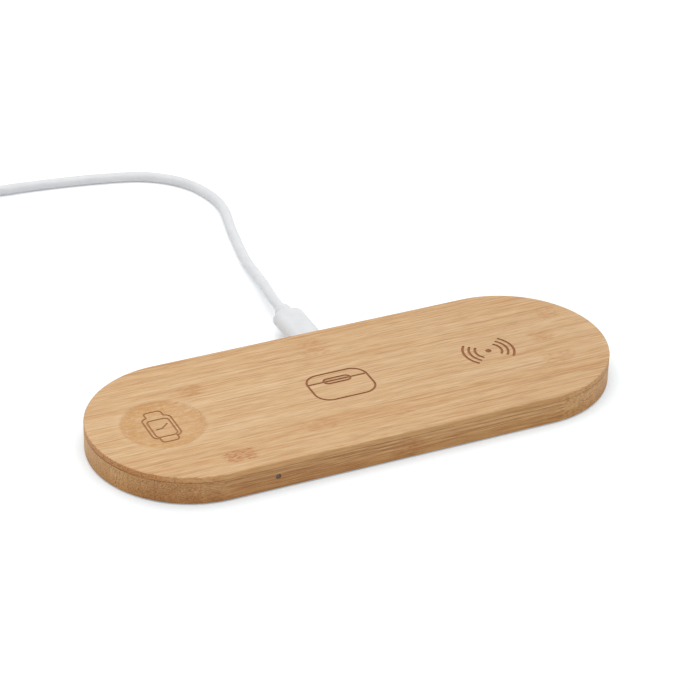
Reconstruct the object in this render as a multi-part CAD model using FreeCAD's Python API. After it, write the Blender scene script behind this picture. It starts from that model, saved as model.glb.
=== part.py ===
import FreeCAD, Part
import math
import os

# A bamboo charging pad with three wireless spots, taken apart into its pieces, and the lead that feeds it.
# Millimetres and degrees. The origin is on the table under the pad's middle. +X runs to the phone's end,
# +Y to the socket at the back, and +Z up.

Vector = FreeCAD.Vector
ACROSS = Vector(1, 0, 0)
BACKWARD = Vector(0, 1, 0)
UP = Vector(0, 0, 1)
HERE = Vector(0, 0, 0)

# Bamboo body: the three spots' places along it give its length
WATCH_END = 27.0
WATCH_TO_EARBUDS = 68.3
EARBUDS_TO_PHONE = 59.4
PHONE_END = 45.3
PAD_WIDTH = 75.0
TOP_THICKNESS = 2.3
FRAME_HEIGHT = 8.6
FRAME_RIM = 3.0
COVER_LEDGE = 5.5
EDGE_ROUND = 0.5
OVERRUN = 1.0
SNAP = 0.001

# Watch dish in the top board
DISH_RADIUS = 15.2
DISH_COVE = 3.4
DISH_DEPTH = 1.0

# Burnt-in marks
MARK_DEPTH = 0.25
WATCH_LINE = 0.55
WATCH_MARK_SHIFT = 0.5
WATCH_CASE_WIDTH = 10.6
WATCH_CASE_HEIGHT = 13.7
WATCH_CASE_CORNER = 2.2
WATCH_SCREEN_WIDTH = 8.0
WATCH_SCREEN_HEIGHT = 11.0
WATCH_SCREEN_DROP = 0.65
WATCH_SCREEN_CORNER = 1.6
WATCH_STRAP_WIDTH = 6.4
WATCH_STRAP_HEIGHT = 19.6
WATCH_STRAP_RISE = 0.25
WATCH_STRAP_CORNER = 1.3
WATCH_HAND_SHARES = [(-0.28, -0.045), (-0.02, -0.04), (0.31, 0.175)]
CASE_LINE = 0.7
CASE_WIDTH = 23.2
CASE_HEIGHT = 17.0
CASE_CORNER = 5.5
CASE_LID_HEIGHT = 5.1
CASE_LATCH_WIDTH = 10.2
CASE_LATCH_HEIGHT = 3.3
CASE_LATCH_LINE = 8.4
WAVE_LINE = 0.85
WAVE_FIRST_RADIUS = 5.0
WAVE_STEP = 2.25
WAVE_COUNT = 3
WAVE_HALF_ANGLE = 41.0
WAVE_DOT_RADIUS = 1.1

# Bottom cover, its screws and the rubber feet
COVER_THICKNESS = 1.6
COVER_CLEARANCE = 0.2
COVER_SCREW_LENGTH = 5.6
COVER_SCREW_HEAD_RADIUS = 1.8
COVER_SCREW_HEAD_HEIGHT = 1.0
COVER_SCREW_SPAN_SHARE = 0.55
SCREW_RADIUS = 0.95
SCREW_CLEARANCE = 0.05
RECESS_WIDTH = 0.45
RECESS_LENGTH = 2.0
RECESS_DEPTH = 0.6
FOOT_RADIUS = 4.5
FOOT_PROUD = 0.35
FOOT_RECESS = 0.35
FOOT_EDGE_INSET = 12.0
FOOT_ROUND = 0.2

# Circuit board and what it is screwed to
BOARD_THICKNESS = 1.2
BOARD_LIFT_SHARE = 0.7
BOARD_GAP = 1.5
BOARD_WALL_GAP = 1.2
BOARD_PAD_INSET = 2.5
BOARD_LEG_MARGIN = 4.0
BOARD_TONGUE_WIDTH = 20.0
BOARD_TONGUE_GAP = 0.4
BOARD_SCREW_INSET = 4.0
BOARD_SCREW_HEAD_RADIUS = 1.7
BOARD_SCREW_HEAD_HEIGHT = 1.1
BOARD_SCREW_BITE_SHARE = 0.75
BOSS_RADIUS = 2.2

# Parts soldered to the board
CHIP_SIDE = 5.0
CHIP_HEIGHT = 0.9
CHIP_ROW_SHARES = [-0.55, 0.0, 0.55]
TRANSISTOR_SIDE = 3.3
TRANSISTOR_COLUMN_SHARES = [0.27, 0.73]
INDUCTOR_SIDE = 5.4
INDUCTOR_HEIGHT = 2.4
INDUCTOR_ROUND = 0.8
INDUCTOR_ROW_SHARES = [-0.28, 0.28]
CAPACITOR_LENGTH = 3.2
CAPACITOR_WIDTH = 1.6
CAPACITOR_HEIGHT = 1.2
CAPACITOR_COLUMN_SHARE = 0.4
CAPACITOR_ROW_SHARES = [0.1, 0.24, 0.38, 0.52, 0.66, 0.8]

# Status light
LED_END = 54.6
LED_WIDTH = 1.6
LED_DEPTH = 0.8
LED_HEIGHT = 0.7
PIPE_RADIUS = 0.95
PIPE_RECESS = 0.3
PIPE_CLEARANCE = 0.05
PIPE_FLANGE_RADIUS = 1.6
PIPE_FLANGE = 0.6

# Socket in the back wall
SOCKET_WIDTH = 8.94
SOCKET_HEIGHT = 3.16
SOCKET_LENGTH = 7.3
SOCKET_WALL = 0.3
SOCKET_BLOCK = 0.7
SOCKET_FIT = 0.02
PORT_WALL = 2.0
PORT_CLEARANCE = 0.15
BAY_FLOOR_GAP = 0.3
TONGUE_WIDTH = 6.69
TONGUE_THICKNESS = 0.7
TONGUE_SETBACK = 1.0
CONTACT_COUNT = 12
CONTACT_PITCH = 0.5
CONTACT_WIDTH = 0.25
CONTACT_LENGTH = 3.6
CONTACT_THICKNESS = 0.06

# Charging coils, each on a ferrite disc in a plastic carrier
COIL_WIRE = 0.7
COIL_PITCH = 1.12
COIL_GLUE = 0.1
COIL_LEAD_RISE = 1.15
COIL_LEAD_START = 0.6
COIL_LEAD_SLOPE = 1.6
COIL_LEAD_BEND = 1.2
COIL_CEILING_GAP = 0.15
WATCH_COIL_INNER = 4.4
WATCH_COIL_TURNS = 4.5
EARBUDS_COIL_INNER = 6.0
EARBUDS_COIL_TURNS = 5.5
PHONE_COIL_TURNS = 9.5
PHONE_SIDE_GAP = 4.0
PHONE_FERRITE_MARGIN = 1.31
FERRITE_THICKNESS = 0.8
FERRITE_MARGIN = 0.6
CARRIER_THICKNESS = 1.0
CARRIER_GAP = 0.2
CARRIER_POST_RADIUS = 1.3
CARRIER_LIP = 0.4
CARRIER_POST_ANGLES = [0.0, 110.0, 180.0, 250.0]
MAGNET_RADIUS = 3.2
MAGNET_HEIGHT = 2.0
MAGNET_GAP = 0.2

# Plug in the socket
PLUG_WIDTH = 8.25
PLUG_HEIGHT = 2.4
PLUG_WALL = 0.22
PLUG_TIP_GAP = 0.4
PLUG_SLOT_WIDTH = 7.0
PLUG_SLOT_HEIGHT = 1.16
PLUG_FIT = 0.02
MOULD_GAP = 0.45
MOULD_WIDTH = 12.35
MOULD_HEIGHT = 6.5
MOULD_LENGTH = 20.5
MOULD_FRONT_ROUND = 0.6
MOULD_BACK_ROUND = 1.4
NECK_RADIUS = 3.2
NECK_LENGTH = 5.8
NECK_END_RADIUS = 2.05
NECK_TAPER = 2.8

# Cord: straight out of the plug, down to the table, back and round to the left
CORD_DIAMETER = 4.0
CORD_STRAIGHT = 8.0
CORD_BEND_SHARE = 0.45
CORD_ROUTE = [
    (2.1, 84.9, 5.6),
    (3.5, 95.7, 3.9),
    (4.9, 109.0, 2.5),
    (7.4, 123.0, 2.0),
    (10.3, 138.2, 2.0),
    (14.0, 152.4, 2.0),
    (13.9, 164.3, 2.0),
    (8.7, 180.0, 2.0),
    (-5.1, 192.2, 2.0),
    (-27.0, 197.5, 2.0),
    (-52.0, 201.3, 2.0),
]
CORD_LAST_RUN = 26.0

# Put-away coil of the cord, in two layers, and its tie
COIL_X = -109.0
COIL_Y = 175.0
LOOP_INNER_RADIUS = 16.0
LOOP_STEP = 4.5
LOOP_QUARTERS_IN = 10
LOOP_QUARTERS_OUT = 11
LOOP_TAIL_RUN = 24.0
TIE_THICKNESS = 0.5
TIE_WIDTH = 6.0
TIE_GAP = 0.2
TIE_SIDE_GAP = 0.6
TIE_ROUND = 1.5

# Plug on the lead's far end
FAR_MOULD_WIDTH = 15.6
FAR_MOULD_HEIGHT = 7.8
FAR_MOULD_LENGTH = 21.0
FAR_MOULD_CORNER = 2.0
FAR_MOULD_ROUND = 0.8
FAR_SHELL_WIDTH = 12.0
FAR_SHELL_HEIGHT = 4.5
FAR_SHELL_LENGTH = 18.5
FAR_SHELL_WALL = 0.3
FAR_SHELL_CORNER = 0.5
FAR_WINDOW_SIDE = 2.2
FAR_WINDOW_SPREAD = 5.6
FAR_WINDOW_SETBACK = 5.2
FAR_INSERT_HEIGHT = 1.9
FAR_INSERT_SETBACK = 0.6
FAR_INSERT_FIT = 0.02
FAR_CONTACT_WIDTH = 1.0
FAR_CONTACT_LENGTH = 7.0
FAR_CONTACT_THICKNESS = 0.15
FAR_CONTACT_PLACE_SHARES = [-0.31, -0.09, 0.09, 0.31]

# Places worked out from the sizes
pad_length = WATCH_END + WATCH_TO_EARBUDS + EARBUDS_TO_PHONE + PHONE_END
watch_x = WATCH_END - pad_length / 2
earbuds_x = watch_x + WATCH_TO_EARBUDS
phone_x = earbuds_x + EARBUDS_TO_PHONE
back_y = PAD_WIDTH / 2
frame_bottom = FOOT_PROUD
ceiling = frame_bottom + FRAME_HEIGHT
pad_top = ceiling + TOP_THICKNESS
wall = FRAME_RIM + COVER_LEDGE
pocket_length = pad_length - 2 * wall
pocket_width = PAD_WIDTH - 2 * wall
rebate_length = pad_length - 2 * FRAME_RIM
rebate_width = PAD_WIDTH - 2 * FRAME_RIM
cover_length = rebate_length - 2 * COVER_CLEARANCE
cover_width = rebate_width - 2 * COVER_CLEARANCE
cover_top = frame_bottom + COVER_THICKNESS
spare_height = FRAME_HEIGHT - COVER_THICKNESS - BOARD_THICKNESS - SOCKET_HEIGHT
board_bottom = cover_top + BOARD_LIFT_SHARE * spare_height
board_top = board_bottom + BOARD_THICKNESS
board_half = pocket_width / 2 - BOARD_WALL_GAP
port_inner_y = back_y - PORT_WALL
led_x = LED_END - pad_length / 2
led_z = board_top + LED_HEIGHT / 2
plug_z = board_top + SOCKET_HEIGHT / 2
wire_z = ceiling - COIL_CEILING_GAP - COIL_LEAD_RISE - COIL_WIRE / 2
ferrite_top = wire_z - COIL_WIRE / 2 - COIL_GLUE
carrier_top = ferrite_top - FERRITE_THICKNESS
carrier_bottom = carrier_top - CARRIER_THICKNESS
loop_low = TIE_THICKNESS + TIE_GAP + CORD_DIAMETER / 2
loop_high = loop_low + LOOP_STEP
loop_start_radius = LOOP_INNER_RADIUS + LOOP_STEP * LOOP_QUARTERS_IN / 4
loop_end_radius = LOOP_INNER_RADIUS + LOOP_STEP * LOOP_QUARTERS_OUT / 4
pieces = {}


# Plain shapes

def stadium(length, width, low, high):
    half = (length - width) / 2
    radius = width / 2
    front = Part.LineSegment(Vector(-half, -radius, low), Vector(half, -radius, low))
    right = Part.Arc(Vector(half, -radius, low), Vector(half + radius, 0, low), Vector(half, radius, low))
    back = Part.LineSegment(Vector(half, radius, low), Vector(-half, radius, low))
    left = Part.Arc(Vector(-half, radius, low), Vector(-half - radius, 0, low), Vector(-half, -radius, low))
    outline = Part.Wire([front.toShape(), right.toShape(), back.toShape(), left.toShape()])
    return Part.Face(outline).extrude(Vector(0, 0, high - low))


def block(x_low, x_high, y_low, y_high, low, high):
    return Part.makeBox(x_high - x_low, y_high - y_low, high - low, Vector(x_low, y_low, low))


def is_upright(edge):
    run = edge.Vertexes[-1].Point - edge.Vertexes[0].Point
    return abs(run.z) > run.Length / 2


def plate(x, y, width, depth, corner, low, high):
    body = block(x - width / 2, x + width / 2, y - depth / 2, y + depth / 2, low, high)
    return body.makeFillet(corner, [edge for edge in body.Edges if is_upright(edge)])


def disc(x, y, radius, low, high):
    return Part.makeCylinder(radius, high - low, Vector(x, y, low))


def lay_back(shape, x, start, z):
    shape.rotate(HERE, ACROSS, -90)
    shape.translate(Vector(x, start, z))
    return shape


def capsule(width, height, start, end, z):
    return lay_back(stadium(width, height, 0, end - start), 0, start, z)


def rod(x, z, radius, start, end):
    return Part.makeCylinder(radius, end - start, Vector(x, start, z), BACKWARD)


def edges_at(shape, axis, place):
    def lies_there(edge):
        return all(abs(corner.Point[axis] - place) < SNAP for corner in edge.Vertexes)
    return [edge for edge in shape.Edges if lies_there(edge)]


def joined(shapes):
    return shapes[0].multiFuse(shapes[1:]).removeSplitter()


# Paths and tubes

def arc_edge(start, heading, end):
    chord = end - start
    along = Vector(chord).normalize()
    side = heading - along * heading.dot(along)
    if side.Length < SNAP * SNAP:
        return Part.LineSegment(start, end).toShape()
    lean = math.atan2(side.Length, heading.dot(along))
    middle = (start + end) * 0.5 + side.normalize() * (chord.Length / 2 * math.tan(lean / 2))
    return Part.Arc(start, middle, end).toShape()


def biarc(start, leaving, end, arriving):
    span = end - start
    along = span.dot(leaving + arriving)
    bend = 2 * (1 - leaving.dot(arriving))
    if bend > SNAP * SNAP:
        reach = (math.sqrt(along ** 2 + bend * span.dot(span)) - along) / bend
    else:
        reach = span.dot(span) / (4 * span.dot(arriving))
    meeting = (start + end + (leaving - arriving) * reach) * 0.5
    heading = (end - start - (leaving + arriving) * reach).normalize()
    return [arc_edge(start, leaving, meeting), arc_edge(meeting, heading, end)]


def rounded_path(points, reach_at):
    edges = []
    here = points[0]
    for index in range(1, len(points) - 1):
        before = points[index] - points[index - 1]
        after = points[index + 1] - points[index]
        reach = reach_at(before, after)
        start = points[index] - before.normalize() * reach
        end = points[index] + after.normalize() * reach
        edges.append(Part.LineSegment(here, start).toShape())
        edges.append(arc_edge(start, before, end))
        here = end
    edges.append(Part.LineSegment(here, points[-1]).toShape())
    return edges


def tube(edges, diameter):
    first = edges[0]
    start = first.valueAt(first.FirstParameter)
    ring = Part.Wire([Part.makeCircle(diameter / 2, start, first.tangentAt(first.FirstParameter))])
    return Part.Wire(edges).makePipeShell([ring], True, False)


def print_tube(name, edges, solid, diameter):
    length = sum(edge.Length for edge in edges)
    expected = math.pi * diameter ** 2 / 4 * length
    radii = [round(edge.Curve.Radius, 1) for edge in edges if hasattr(edge.Curve, "Radius")]
    share = round(solid.Volume / expected, 4)
    print(name, "length", round(length, 1), "volume over section times length", share)
    print(name, "least radius", min(radii), "all radii", radii)


def print_least_gap(name, edges, diameter):
    points = []
    travelled = 0
    for edge in edges:
        steps = max(2, math.ceil(4 * edge.Length / diameter))
        marks = edge.discretize(steps + 1)
        points += [(mark, travelled + edge.Length * number / steps) for number, mark in enumerate(marks)]
        travelled += edge.Length
    cells = {}
    for point, place in points:
        key = tuple(math.floor(value / (2 * diameter)) for value in point)
        cells.setdefault(key, []).append((point, place))
    least = travelled
    for (a, b, c), members in cells.items():
        nearby = [entry for da in (-1, 0, 1) for db in (-1, 0, 1) for dc in (-1, 0, 1)
                  for entry in cells.get((a + da, b + db, c + dc), [])]
        for point, place in members:
            apart = [(point - other).Length for other, mark in nearby if abs(place - mark) > 4 * diameter]
            least = min([least] + apart)
    print(name, "least gap to itself", round(least - diameter, 3))


# Top board: a bamboo sheet with the watch's dish and the three marks sunk into it

def dish():
    floor = pad_top - DISH_DEPTH
    inner = Vector(watch_x + DISH_RADIUS - DISH_COVE, 0, floor)
    rim = Vector(watch_x + DISH_RADIUS, 0, pad_top)
    above = Vector(rim.x, 0, pad_top + OVERRUN)
    middle = Vector(watch_x, 0, floor)
    middle_above = Vector(watch_x, 0, pad_top + OVERRUN)
    edges = [Part.LineSegment(middle, inner).toShape(), arc_edge(inner, ACROSS, rim)]
    corners = [rim, above, middle_above, middle]
    edges += [Part.LineSegment(a, b).toShape() for a, b in zip(corners, corners[1:])]
    return Part.Face(Part.Wire(edges)).revolve(middle, UP, 360)


def stroke(start, end, line, low, high):
    run = end - start
    body = stadium(run.Length + line, line, low, high)
    body.rotate(HERE, UP, math.degrees(math.atan2(run.y, run.x)))
    body.translate((start + end) * 0.5)
    return body


def outline_mark(x, rectangles, line, low, high):
    def bands(extra):
        return [plate(x, y, width + extra, depth + extra, corner + extra / 2, low, high)
                for y, width, depth, corner in rectangles]
    outer = bands(line)
    inner = bands(-line)
    return outer[0].multiFuse(outer[1:]).cut(inner[0].multiFuse(inner[1:]))


def watch_mark():
    high = pad_top
    low = pad_top - DISH_DEPTH - MARK_DEPTH
    mark_x = watch_x - WATCH_MARK_SHIFT
    case = (0, WATCH_CASE_WIDTH, WATCH_CASE_HEIGHT, WATCH_CASE_CORNER)
    strap = (WATCH_STRAP_RISE, WATCH_STRAP_WIDTH, WATCH_STRAP_HEIGHT, WATCH_STRAP_CORNER)
    screen = (-WATCH_SCREEN_DROP, WATCH_SCREEN_WIDTH, WATCH_SCREEN_HEIGHT, WATCH_SCREEN_CORNER)
    centre = Vector(mark_x, -WATCH_SCREEN_DROP, 0)
    hands = [centre + Vector(across * WATCH_SCREEN_WIDTH, along * WATCH_SCREEN_HEIGHT, 0)
             for across, along in WATCH_HAND_SHARES]
    strokes = [stroke(start, end, WATCH_LINE, low, high) for start, end in zip(hands, hands[1:])]
    outlines = [outline_mark(mark_x, shapes, WATCH_LINE, low, high) for shapes in ([case, strap], [screen])]
    return outlines + strokes


def earbuds_mark(low, high):
    lid_y = CASE_HEIGHT / 2 - CASE_LID_HEIGHT
    latch_corner = (CASE_LATCH_HEIGHT - CASE_LINE) / 2
    case = (0, CASE_WIDTH, CASE_HEIGHT, CASE_CORNER)
    latch = (lid_y, CASE_LATCH_WIDTH, CASE_LATCH_HEIGHT, latch_corner)
    marks = [outline_mark(earbuds_x, [shape], CASE_LINE, low, high) for shape in (case, latch)]
    for side in (-1, 1):
        near = Vector(earbuds_x + side * CASE_LATCH_WIDTH / 2, lid_y, 0)
        far = Vector(earbuds_x + side * CASE_WIDTH / 2, lid_y, 0)
        marks.append(stroke(near, far, CASE_LINE, low, high))
    half = Vector(CASE_LATCH_LINE / 2, 0, 0)
    middle = Vector(earbuds_x, lid_y, 0)
    return marks + [stroke(middle - half, middle + half, CASE_LINE, low, high)]


def wave_mark(radius, facing, low, high):
    def around(distance, degrees):
        angle = math.radians(facing + degrees)
        return Vector(phone_x + distance * math.cos(angle), distance * math.sin(angle), low)
    half = WAVE_LINE / 2
    side = WAVE_HALF_ANGLE
    cap = side + math.degrees(half / radius)
    outer = Part.Arc(around(radius + half, -side), around(radius + half, 0), around(radius + half, side))
    first_cap = Part.Arc(around(radius + half, side), around(radius, cap), around(radius - half, side))
    inner = Part.Arc(around(radius - half, side), around(radius - half, 0), around(radius - half, -side))
    last_cap = Part.Arc(around(radius - half, -side), around(radius, -cap), around(radius + half, -side))
    outline = Part.Wire([arc.toShape() for arc in (outer, first_cap, inner, last_cap)])
    return Part.Face(outline).extrude(UP * (high - low))


def phone_mark(low, high):
    radii = [WAVE_FIRST_RADIUS + number * WAVE_STEP for number in range(WAVE_COUNT)]
    waves = [wave_mark(radius, facing, low, high) for radius in radii for facing in (0, 180)]
    return [disc(phone_x, 0, WAVE_DOT_RADIUS, low, high)] + waves


def top_board():
    board = stadium(pad_length, PAD_WIDTH, ceiling, pad_top)
    board = board.makeFillet(EDGE_ROUND, edges_at(board, 2, pad_top))
    low = pad_top - MARK_DEPTH
    high = pad_top + OVERRUN
    return board.cut([dish()] + watch_mark() + earbuds_mark(low, high) + phone_mark(low, high))


# Frame: a bamboo ring with a rebate for the cover, a port and a hole for the status light

def cover_screw_places():
    side_x = COVER_SCREW_SPAN_SHARE * (pad_length - PAD_WIDTH) / 2
    side_y = rebate_width / 2 - COVER_LEDGE / 2
    end_x = rebate_length / 2 - COVER_LEDGE / 2
    sides = [(sx * side_x, sy * side_y) for sx in (-1, 1) for sy in (-1, 1)]
    return sides + [(-end_x, 0), (end_x, 0)]


def countersunk(x, y, extra):
    place = Vector(x, y, frame_bottom)
    head = COVER_SCREW_HEAD_RADIUS + extra
    shank = SCREW_RADIUS + extra
    cone = Part.makeCone(head, shank, COVER_SCREW_HEAD_HEIGHT, place)
    return cone.fuse(Part.makeCylinder(shank, COVER_SCREW_LENGTH + extra, place)).removeSplitter()


def cross_recess(x, y, low, high):
    half_length = RECESS_LENGTH / 2
    half_width = RECESS_WIDTH / 2
    one = block(x - half_length, x + half_length, y - half_width, y + half_width, low, high)
    two = block(x - half_width, x + half_width, y - half_length, y + half_length, low, high)
    return one.fuse(two)


def bamboo_frame():
    frame = stadium(pad_length, PAD_WIDTH, frame_bottom, ceiling)
    frame = frame.makeFillet(EDGE_ROUND, edges_at(frame, 2, frame_bottom))
    half_bay = BOARD_TONGUE_WIDTH / 2 + BOARD_TONGUE_GAP
    bay_floor = board_bottom - BAY_FLOOR_GAP
    port_width = SOCKET_WIDTH + 2 * PORT_CLEARANCE
    port_height = SOCKET_HEIGHT + 2 * PORT_CLEARANCE
    cuts = [
        stadium(pocket_length, pocket_width, frame_bottom - OVERRUN, ceiling + OVERRUN),
        stadium(rebate_length, rebate_width, frame_bottom - OVERRUN, cover_top),
        block(-half_bay, half_bay, 0, port_inner_y, bay_floor, ceiling + OVERRUN),
        capsule(port_width, port_height, port_inner_y - OVERRUN, back_y + OVERRUN, plug_z),
        rod(led_x, led_z, PIPE_RADIUS + PIPE_CLEARANCE, -back_y - OVERRUN, 0),
    ]
    cuts += [countersunk(x, y, SCREW_CLEARANCE) for x, y in cover_screw_places()]
    return frame.cut(cuts)


# Bottom cover with bosses for the board, its screws and the feet under it

def foot_places():
    x = (pad_length - PAD_WIDTH) / 2
    y = cover_width / 2 - FOOT_EDGE_INSET
    return {"front_left": (-x, -y), "front_right": (x, -y), "back_left": (-x, y), "back_right": (x, y)}


def board_screw_places():
    left_x = board_left + BOARD_SCREW_INSET
    right_x = (leg_left + leg_right) / 2
    y = board_half - BOARD_SCREW_INSET
    return [(left_x, -y), (left_x, y), (right_x, y)]


def board_screw_hole(x, y):
    return disc(x, y, SCREW_RADIUS + SCREW_CLEARANCE, board_screw_tip - SCREW_CLEARANCE, board_top + OVERRUN)


def bottom_cover():
    sheet = stadium(cover_length, cover_width, frame_bottom, cover_top)
    bosses = [disc(x, y, BOSS_RADIUS, frame_bottom, board_bottom) for x, y in board_screw_places()]
    cuts = [countersunk(x, y, SCREW_CLEARANCE) for x, y in cover_screw_places()]
    cuts += [board_screw_hole(x, y) for x, y in board_screw_places()]
    cuts += [disc(x, y, FOOT_RADIUS, 0, frame_bottom + FOOT_RECESS) for x, y in foot_places().values()]
    return joined([sheet] + bosses).cut(cuts)


def cover_screw(x, y):
    recess = cross_recess(x, y, frame_bottom - OVERRUN, frame_bottom + RECESS_DEPTH)
    return countersunk(x, y, 0).cut(recess)


def foot(x, y):
    body = disc(x, y, FOOT_RADIUS, 0, frame_bottom + FOOT_RECESS)
    return body.makeFillet(FOOT_ROUND, edges_at(body, 2, 0))


# Coil stacks: winding on ferrite on a carrier whose posts reach from the cover to the top board

def coil_sizes(inner, turns):
    outer = inner + turns * COIL_PITCH
    ferrite = outer + COIL_WIRE / 2 + FERRITE_MARGIN
    carrier = ferrite + CARRIER_GAP + 2 * CARRIER_POST_RADIUS + CARRIER_LIP
    return {"inner": inner, "turns": turns, "outer": outer, "ferrite": ferrite, "carrier": carrier}


def phone_coil_sizes():
    carrier = pocket_width / 2 - PHONE_SIDE_GAP
    ferrite = carrier - CARRIER_LIP - 2 * CARRIER_POST_RADIUS - CARRIER_GAP
    outer = ferrite - PHONE_FERRITE_MARGIN - COIL_WIRE / 2
    inner = outer - PHONE_COIL_TURNS * COIL_PITCH
    return {"inner": inner, "turns": PHONE_COIL_TURNS, "outer": outer, "ferrite": ferrite, "carrier": carrier}


def winding_path(sizes, pad_x):
    inner = sizes["inner"]
    outer = sizes["outer"]
    crossing_z = wire_z + COIL_LEAD_RISE
    slope_end = COIL_LEAD_START + COIL_LEAD_SLOPE
    inner_lead = [
        Vector(pad_x, inner, board_top),
        Vector(pad_x, inner, crossing_z),
        Vector(slope_end, inner, crossing_z),
        Vector(COIL_LEAD_START, inner, wire_z),
        Vector(0, inner, wire_z),
    ]
    outer_lead = [Vector(0, -outer, wire_z), Vector(pad_x, -outer, wire_z), Vector(pad_x, -outer, board_top)]

    def bend_reach(before, after):
        return COIL_LEAD_BEND * math.tan(before.getAngle(after) / 2)

    def node(half_turn):
        angle = math.radians(90 + 180 * half_turn)
        radius = inner + COIL_PITCH * half_turn / 2
        outward = Vector(math.cos(angle), math.sin(angle), 0)
        drift = COIL_PITCH / (2 * math.pi * radius)
        if half_turn in (0, last):
            drift = 0
        heading = (UP.cross(outward) + outward * drift).normalize()
        return outward * radius + UP * wire_z, heading

    last = round(2 * sizes["turns"])
    nodes = [node(half_turn) for half_turn in range(last + 1)]
    edges = rounded_path(inner_lead, bend_reach)
    for (start, leaving), (end, arriving) in zip(nodes, nodes[1:]):
        edges += biarc(start, leaving, end, arriving)
    return edges + rounded_path(outer_lead, bend_reach)


def coil_stack(name, x, sizes, pad_x, hole):
    facing = 0 if pad_x > x else 180
    path = winding_path(sizes, abs(pad_x - x))
    winding = tube(path, COIL_WIRE)
    winding.rotate(HERE, UP, facing)
    winding.translate(Vector(x, 0, 0))
    ferrite = disc(x, 0, sizes["ferrite"], carrier_top, ferrite_top)
    if hole:
        ferrite = ferrite.cut(disc(x, 0, hole, carrier_top - OVERRUN, ferrite_top + OVERRUN))
    carrier = [disc(x, 0, sizes["carrier"], carrier_bottom, carrier_top)]
    post_ring = sizes["carrier"] - CARRIER_LIP - CARRIER_POST_RADIUS
    for angle in CARRIER_POST_ANGLES:
        turn = math.radians(angle + facing)
        post_x = x + post_ring * math.cos(turn)
        carrier.append(disc(post_x, post_ring * math.sin(turn), CARRIER_POST_RADIUS, cover_top, ceiling))
    pieces[name + "_coil"] = winding
    pieces[name + "_ferrite"] = ferrite
    pieces[name + "_coil_carrier"] = joined(carrier)


# Circuit board: a block between the watch and earbud spots, a bridge behind the earbud spot,
# a leg beside the phone spot and a tongue that carries the socket into the back wall

def main_board():
    bridge_front = earbuds_sizes["carrier"] + BOARD_GAP
    tongue_end = port_inner_y - BOARD_TONGUE_GAP
    half_tongue = BOARD_TONGUE_WIDTH / 2
    areas = [
        block(board_left, board_right, -board_half, board_half, board_bottom, board_top),
        block(board_left, leg_right, bridge_front, board_half, board_bottom, board_top),
        block(leg_left, leg_right, leg_front, board_half, board_bottom, board_top),
        block(-half_tongue, half_tongue, bridge_front, tongue_end, board_bottom, board_top),
    ]
    return joined(areas).cut([board_screw_hole(x, y) for x, y in board_screw_places()])


def board_screw(x, y):
    head_top = board_top + BOARD_SCREW_HEAD_HEIGHT
    head = disc(x, y, BOARD_SCREW_HEAD_RADIUS, board_top, head_top)
    shank = disc(x, y, SCREW_RADIUS, board_screw_tip, board_top)
    return joined([head, shank]).cut(cross_recess(x, y, head_top - RECESS_DEPTH, head_top + OVERRUN))


def on_board(x, y, width, depth, height):
    return block(x - width / 2, x + width / 2, y - depth / 2, y + depth / 2, board_top, board_top + height)


def board_parts():
    block_width = board_right - board_left
    middle_x = board_left + block_width / 2
    rows = [share * board_half for share in CHIP_ROW_SHARES]
    columns = [board_left + share * block_width for share in TRANSISTOR_COLUMN_SHARES]
    chips = [on_board(middle_x, y, CHIP_SIDE, CHIP_SIDE, CHIP_HEIGHT) for y in rows]
    spots = [(x, y) for x in columns for y in rows]
    transistors = [on_board(x, y, TRANSISTOR_SIDE, TRANSISTOR_SIDE, CHIP_HEIGHT) for x, y in spots]
    inductor_top = board_top + INDUCTOR_HEIGHT
    side = INDUCTOR_SIDE
    inductors = [plate(middle_x, share * board_half, side, side, INDUCTOR_ROUND, board_top, inductor_top)
                 for share in INDUCTOR_ROW_SHARES]
    column = leg_left + CAPACITOR_COLUMN_SHARE * (leg_right - leg_left)
    leg_length = board_half - BOARD_SCREW_INSET - BOARD_SCREW_HEAD_RADIUS - leg_front
    rows = [leg_front + share * leg_length for share in CAPACITOR_ROW_SHARES]
    capacitors = [on_board(column, y, CAPACITOR_LENGTH, CAPACITOR_WIDTH, CAPACITOR_HEIGHT) for y in rows]
    pieces["driver_chips"] = Part.makeCompound(chips)
    pieces["bridge_transistors"] = Part.makeCompound(transistors)
    pieces["power_inductors"] = Part.makeCompound(inductors)
    pieces["tuning_capacitors"] = Part.makeCompound(capacitors)


# Status light: a side-facing light on the board's front edge and the clear pipe through the wall

def light_pipe():
    inner_wall = -pocket_width / 2
    pipe = rod(led_x, led_z, PIPE_RADIUS, PIPE_RECESS - back_y, inner_wall + PIPE_FLANGE)
    flange = rod(led_x, led_z, PIPE_FLANGE_RADIUS, inner_wall, inner_wall + PIPE_FLANGE)
    return joined([pipe, flange])


def status_led():
    front = -board_half
    half = LED_WIDTH / 2
    return block(led_x - half, led_x + half, front, front + LED_DEPTH, board_top, board_top + LED_HEIGHT)


# Socket: steel shell, plastic block with its tongue, and the contacts on the tongue

def socket_shell():
    outer = capsule(SOCKET_WIDTH, SOCKET_HEIGHT, socket_rear, back_y, plug_z)
    inner_width = SOCKET_WIDTH - 2 * SOCKET_WALL
    inner_height = SOCKET_HEIGHT - 2 * SOCKET_WALL
    return outer.cut(capsule(inner_width, inner_height, socket_rear - OVERRUN, back_y + OVERRUN, plug_z))


def socket_tongue():
    inset = 2 * (SOCKET_WALL + SOCKET_FIT)
    block_front = socket_rear + SOCKET_BLOCK
    rear = capsule(SOCKET_WIDTH - inset, SOCKET_HEIGHT - inset, socket_rear, block_front, plug_z)
    low = plug_z - TONGUE_THICKNESS / 2
    high = plug_z + TONGUE_THICKNESS / 2
    tongue = block(-TONGUE_WIDTH / 2, TONGUE_WIDTH / 2, socket_rear, tongue_front, low, high)
    return joined([rear, tongue])


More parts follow.
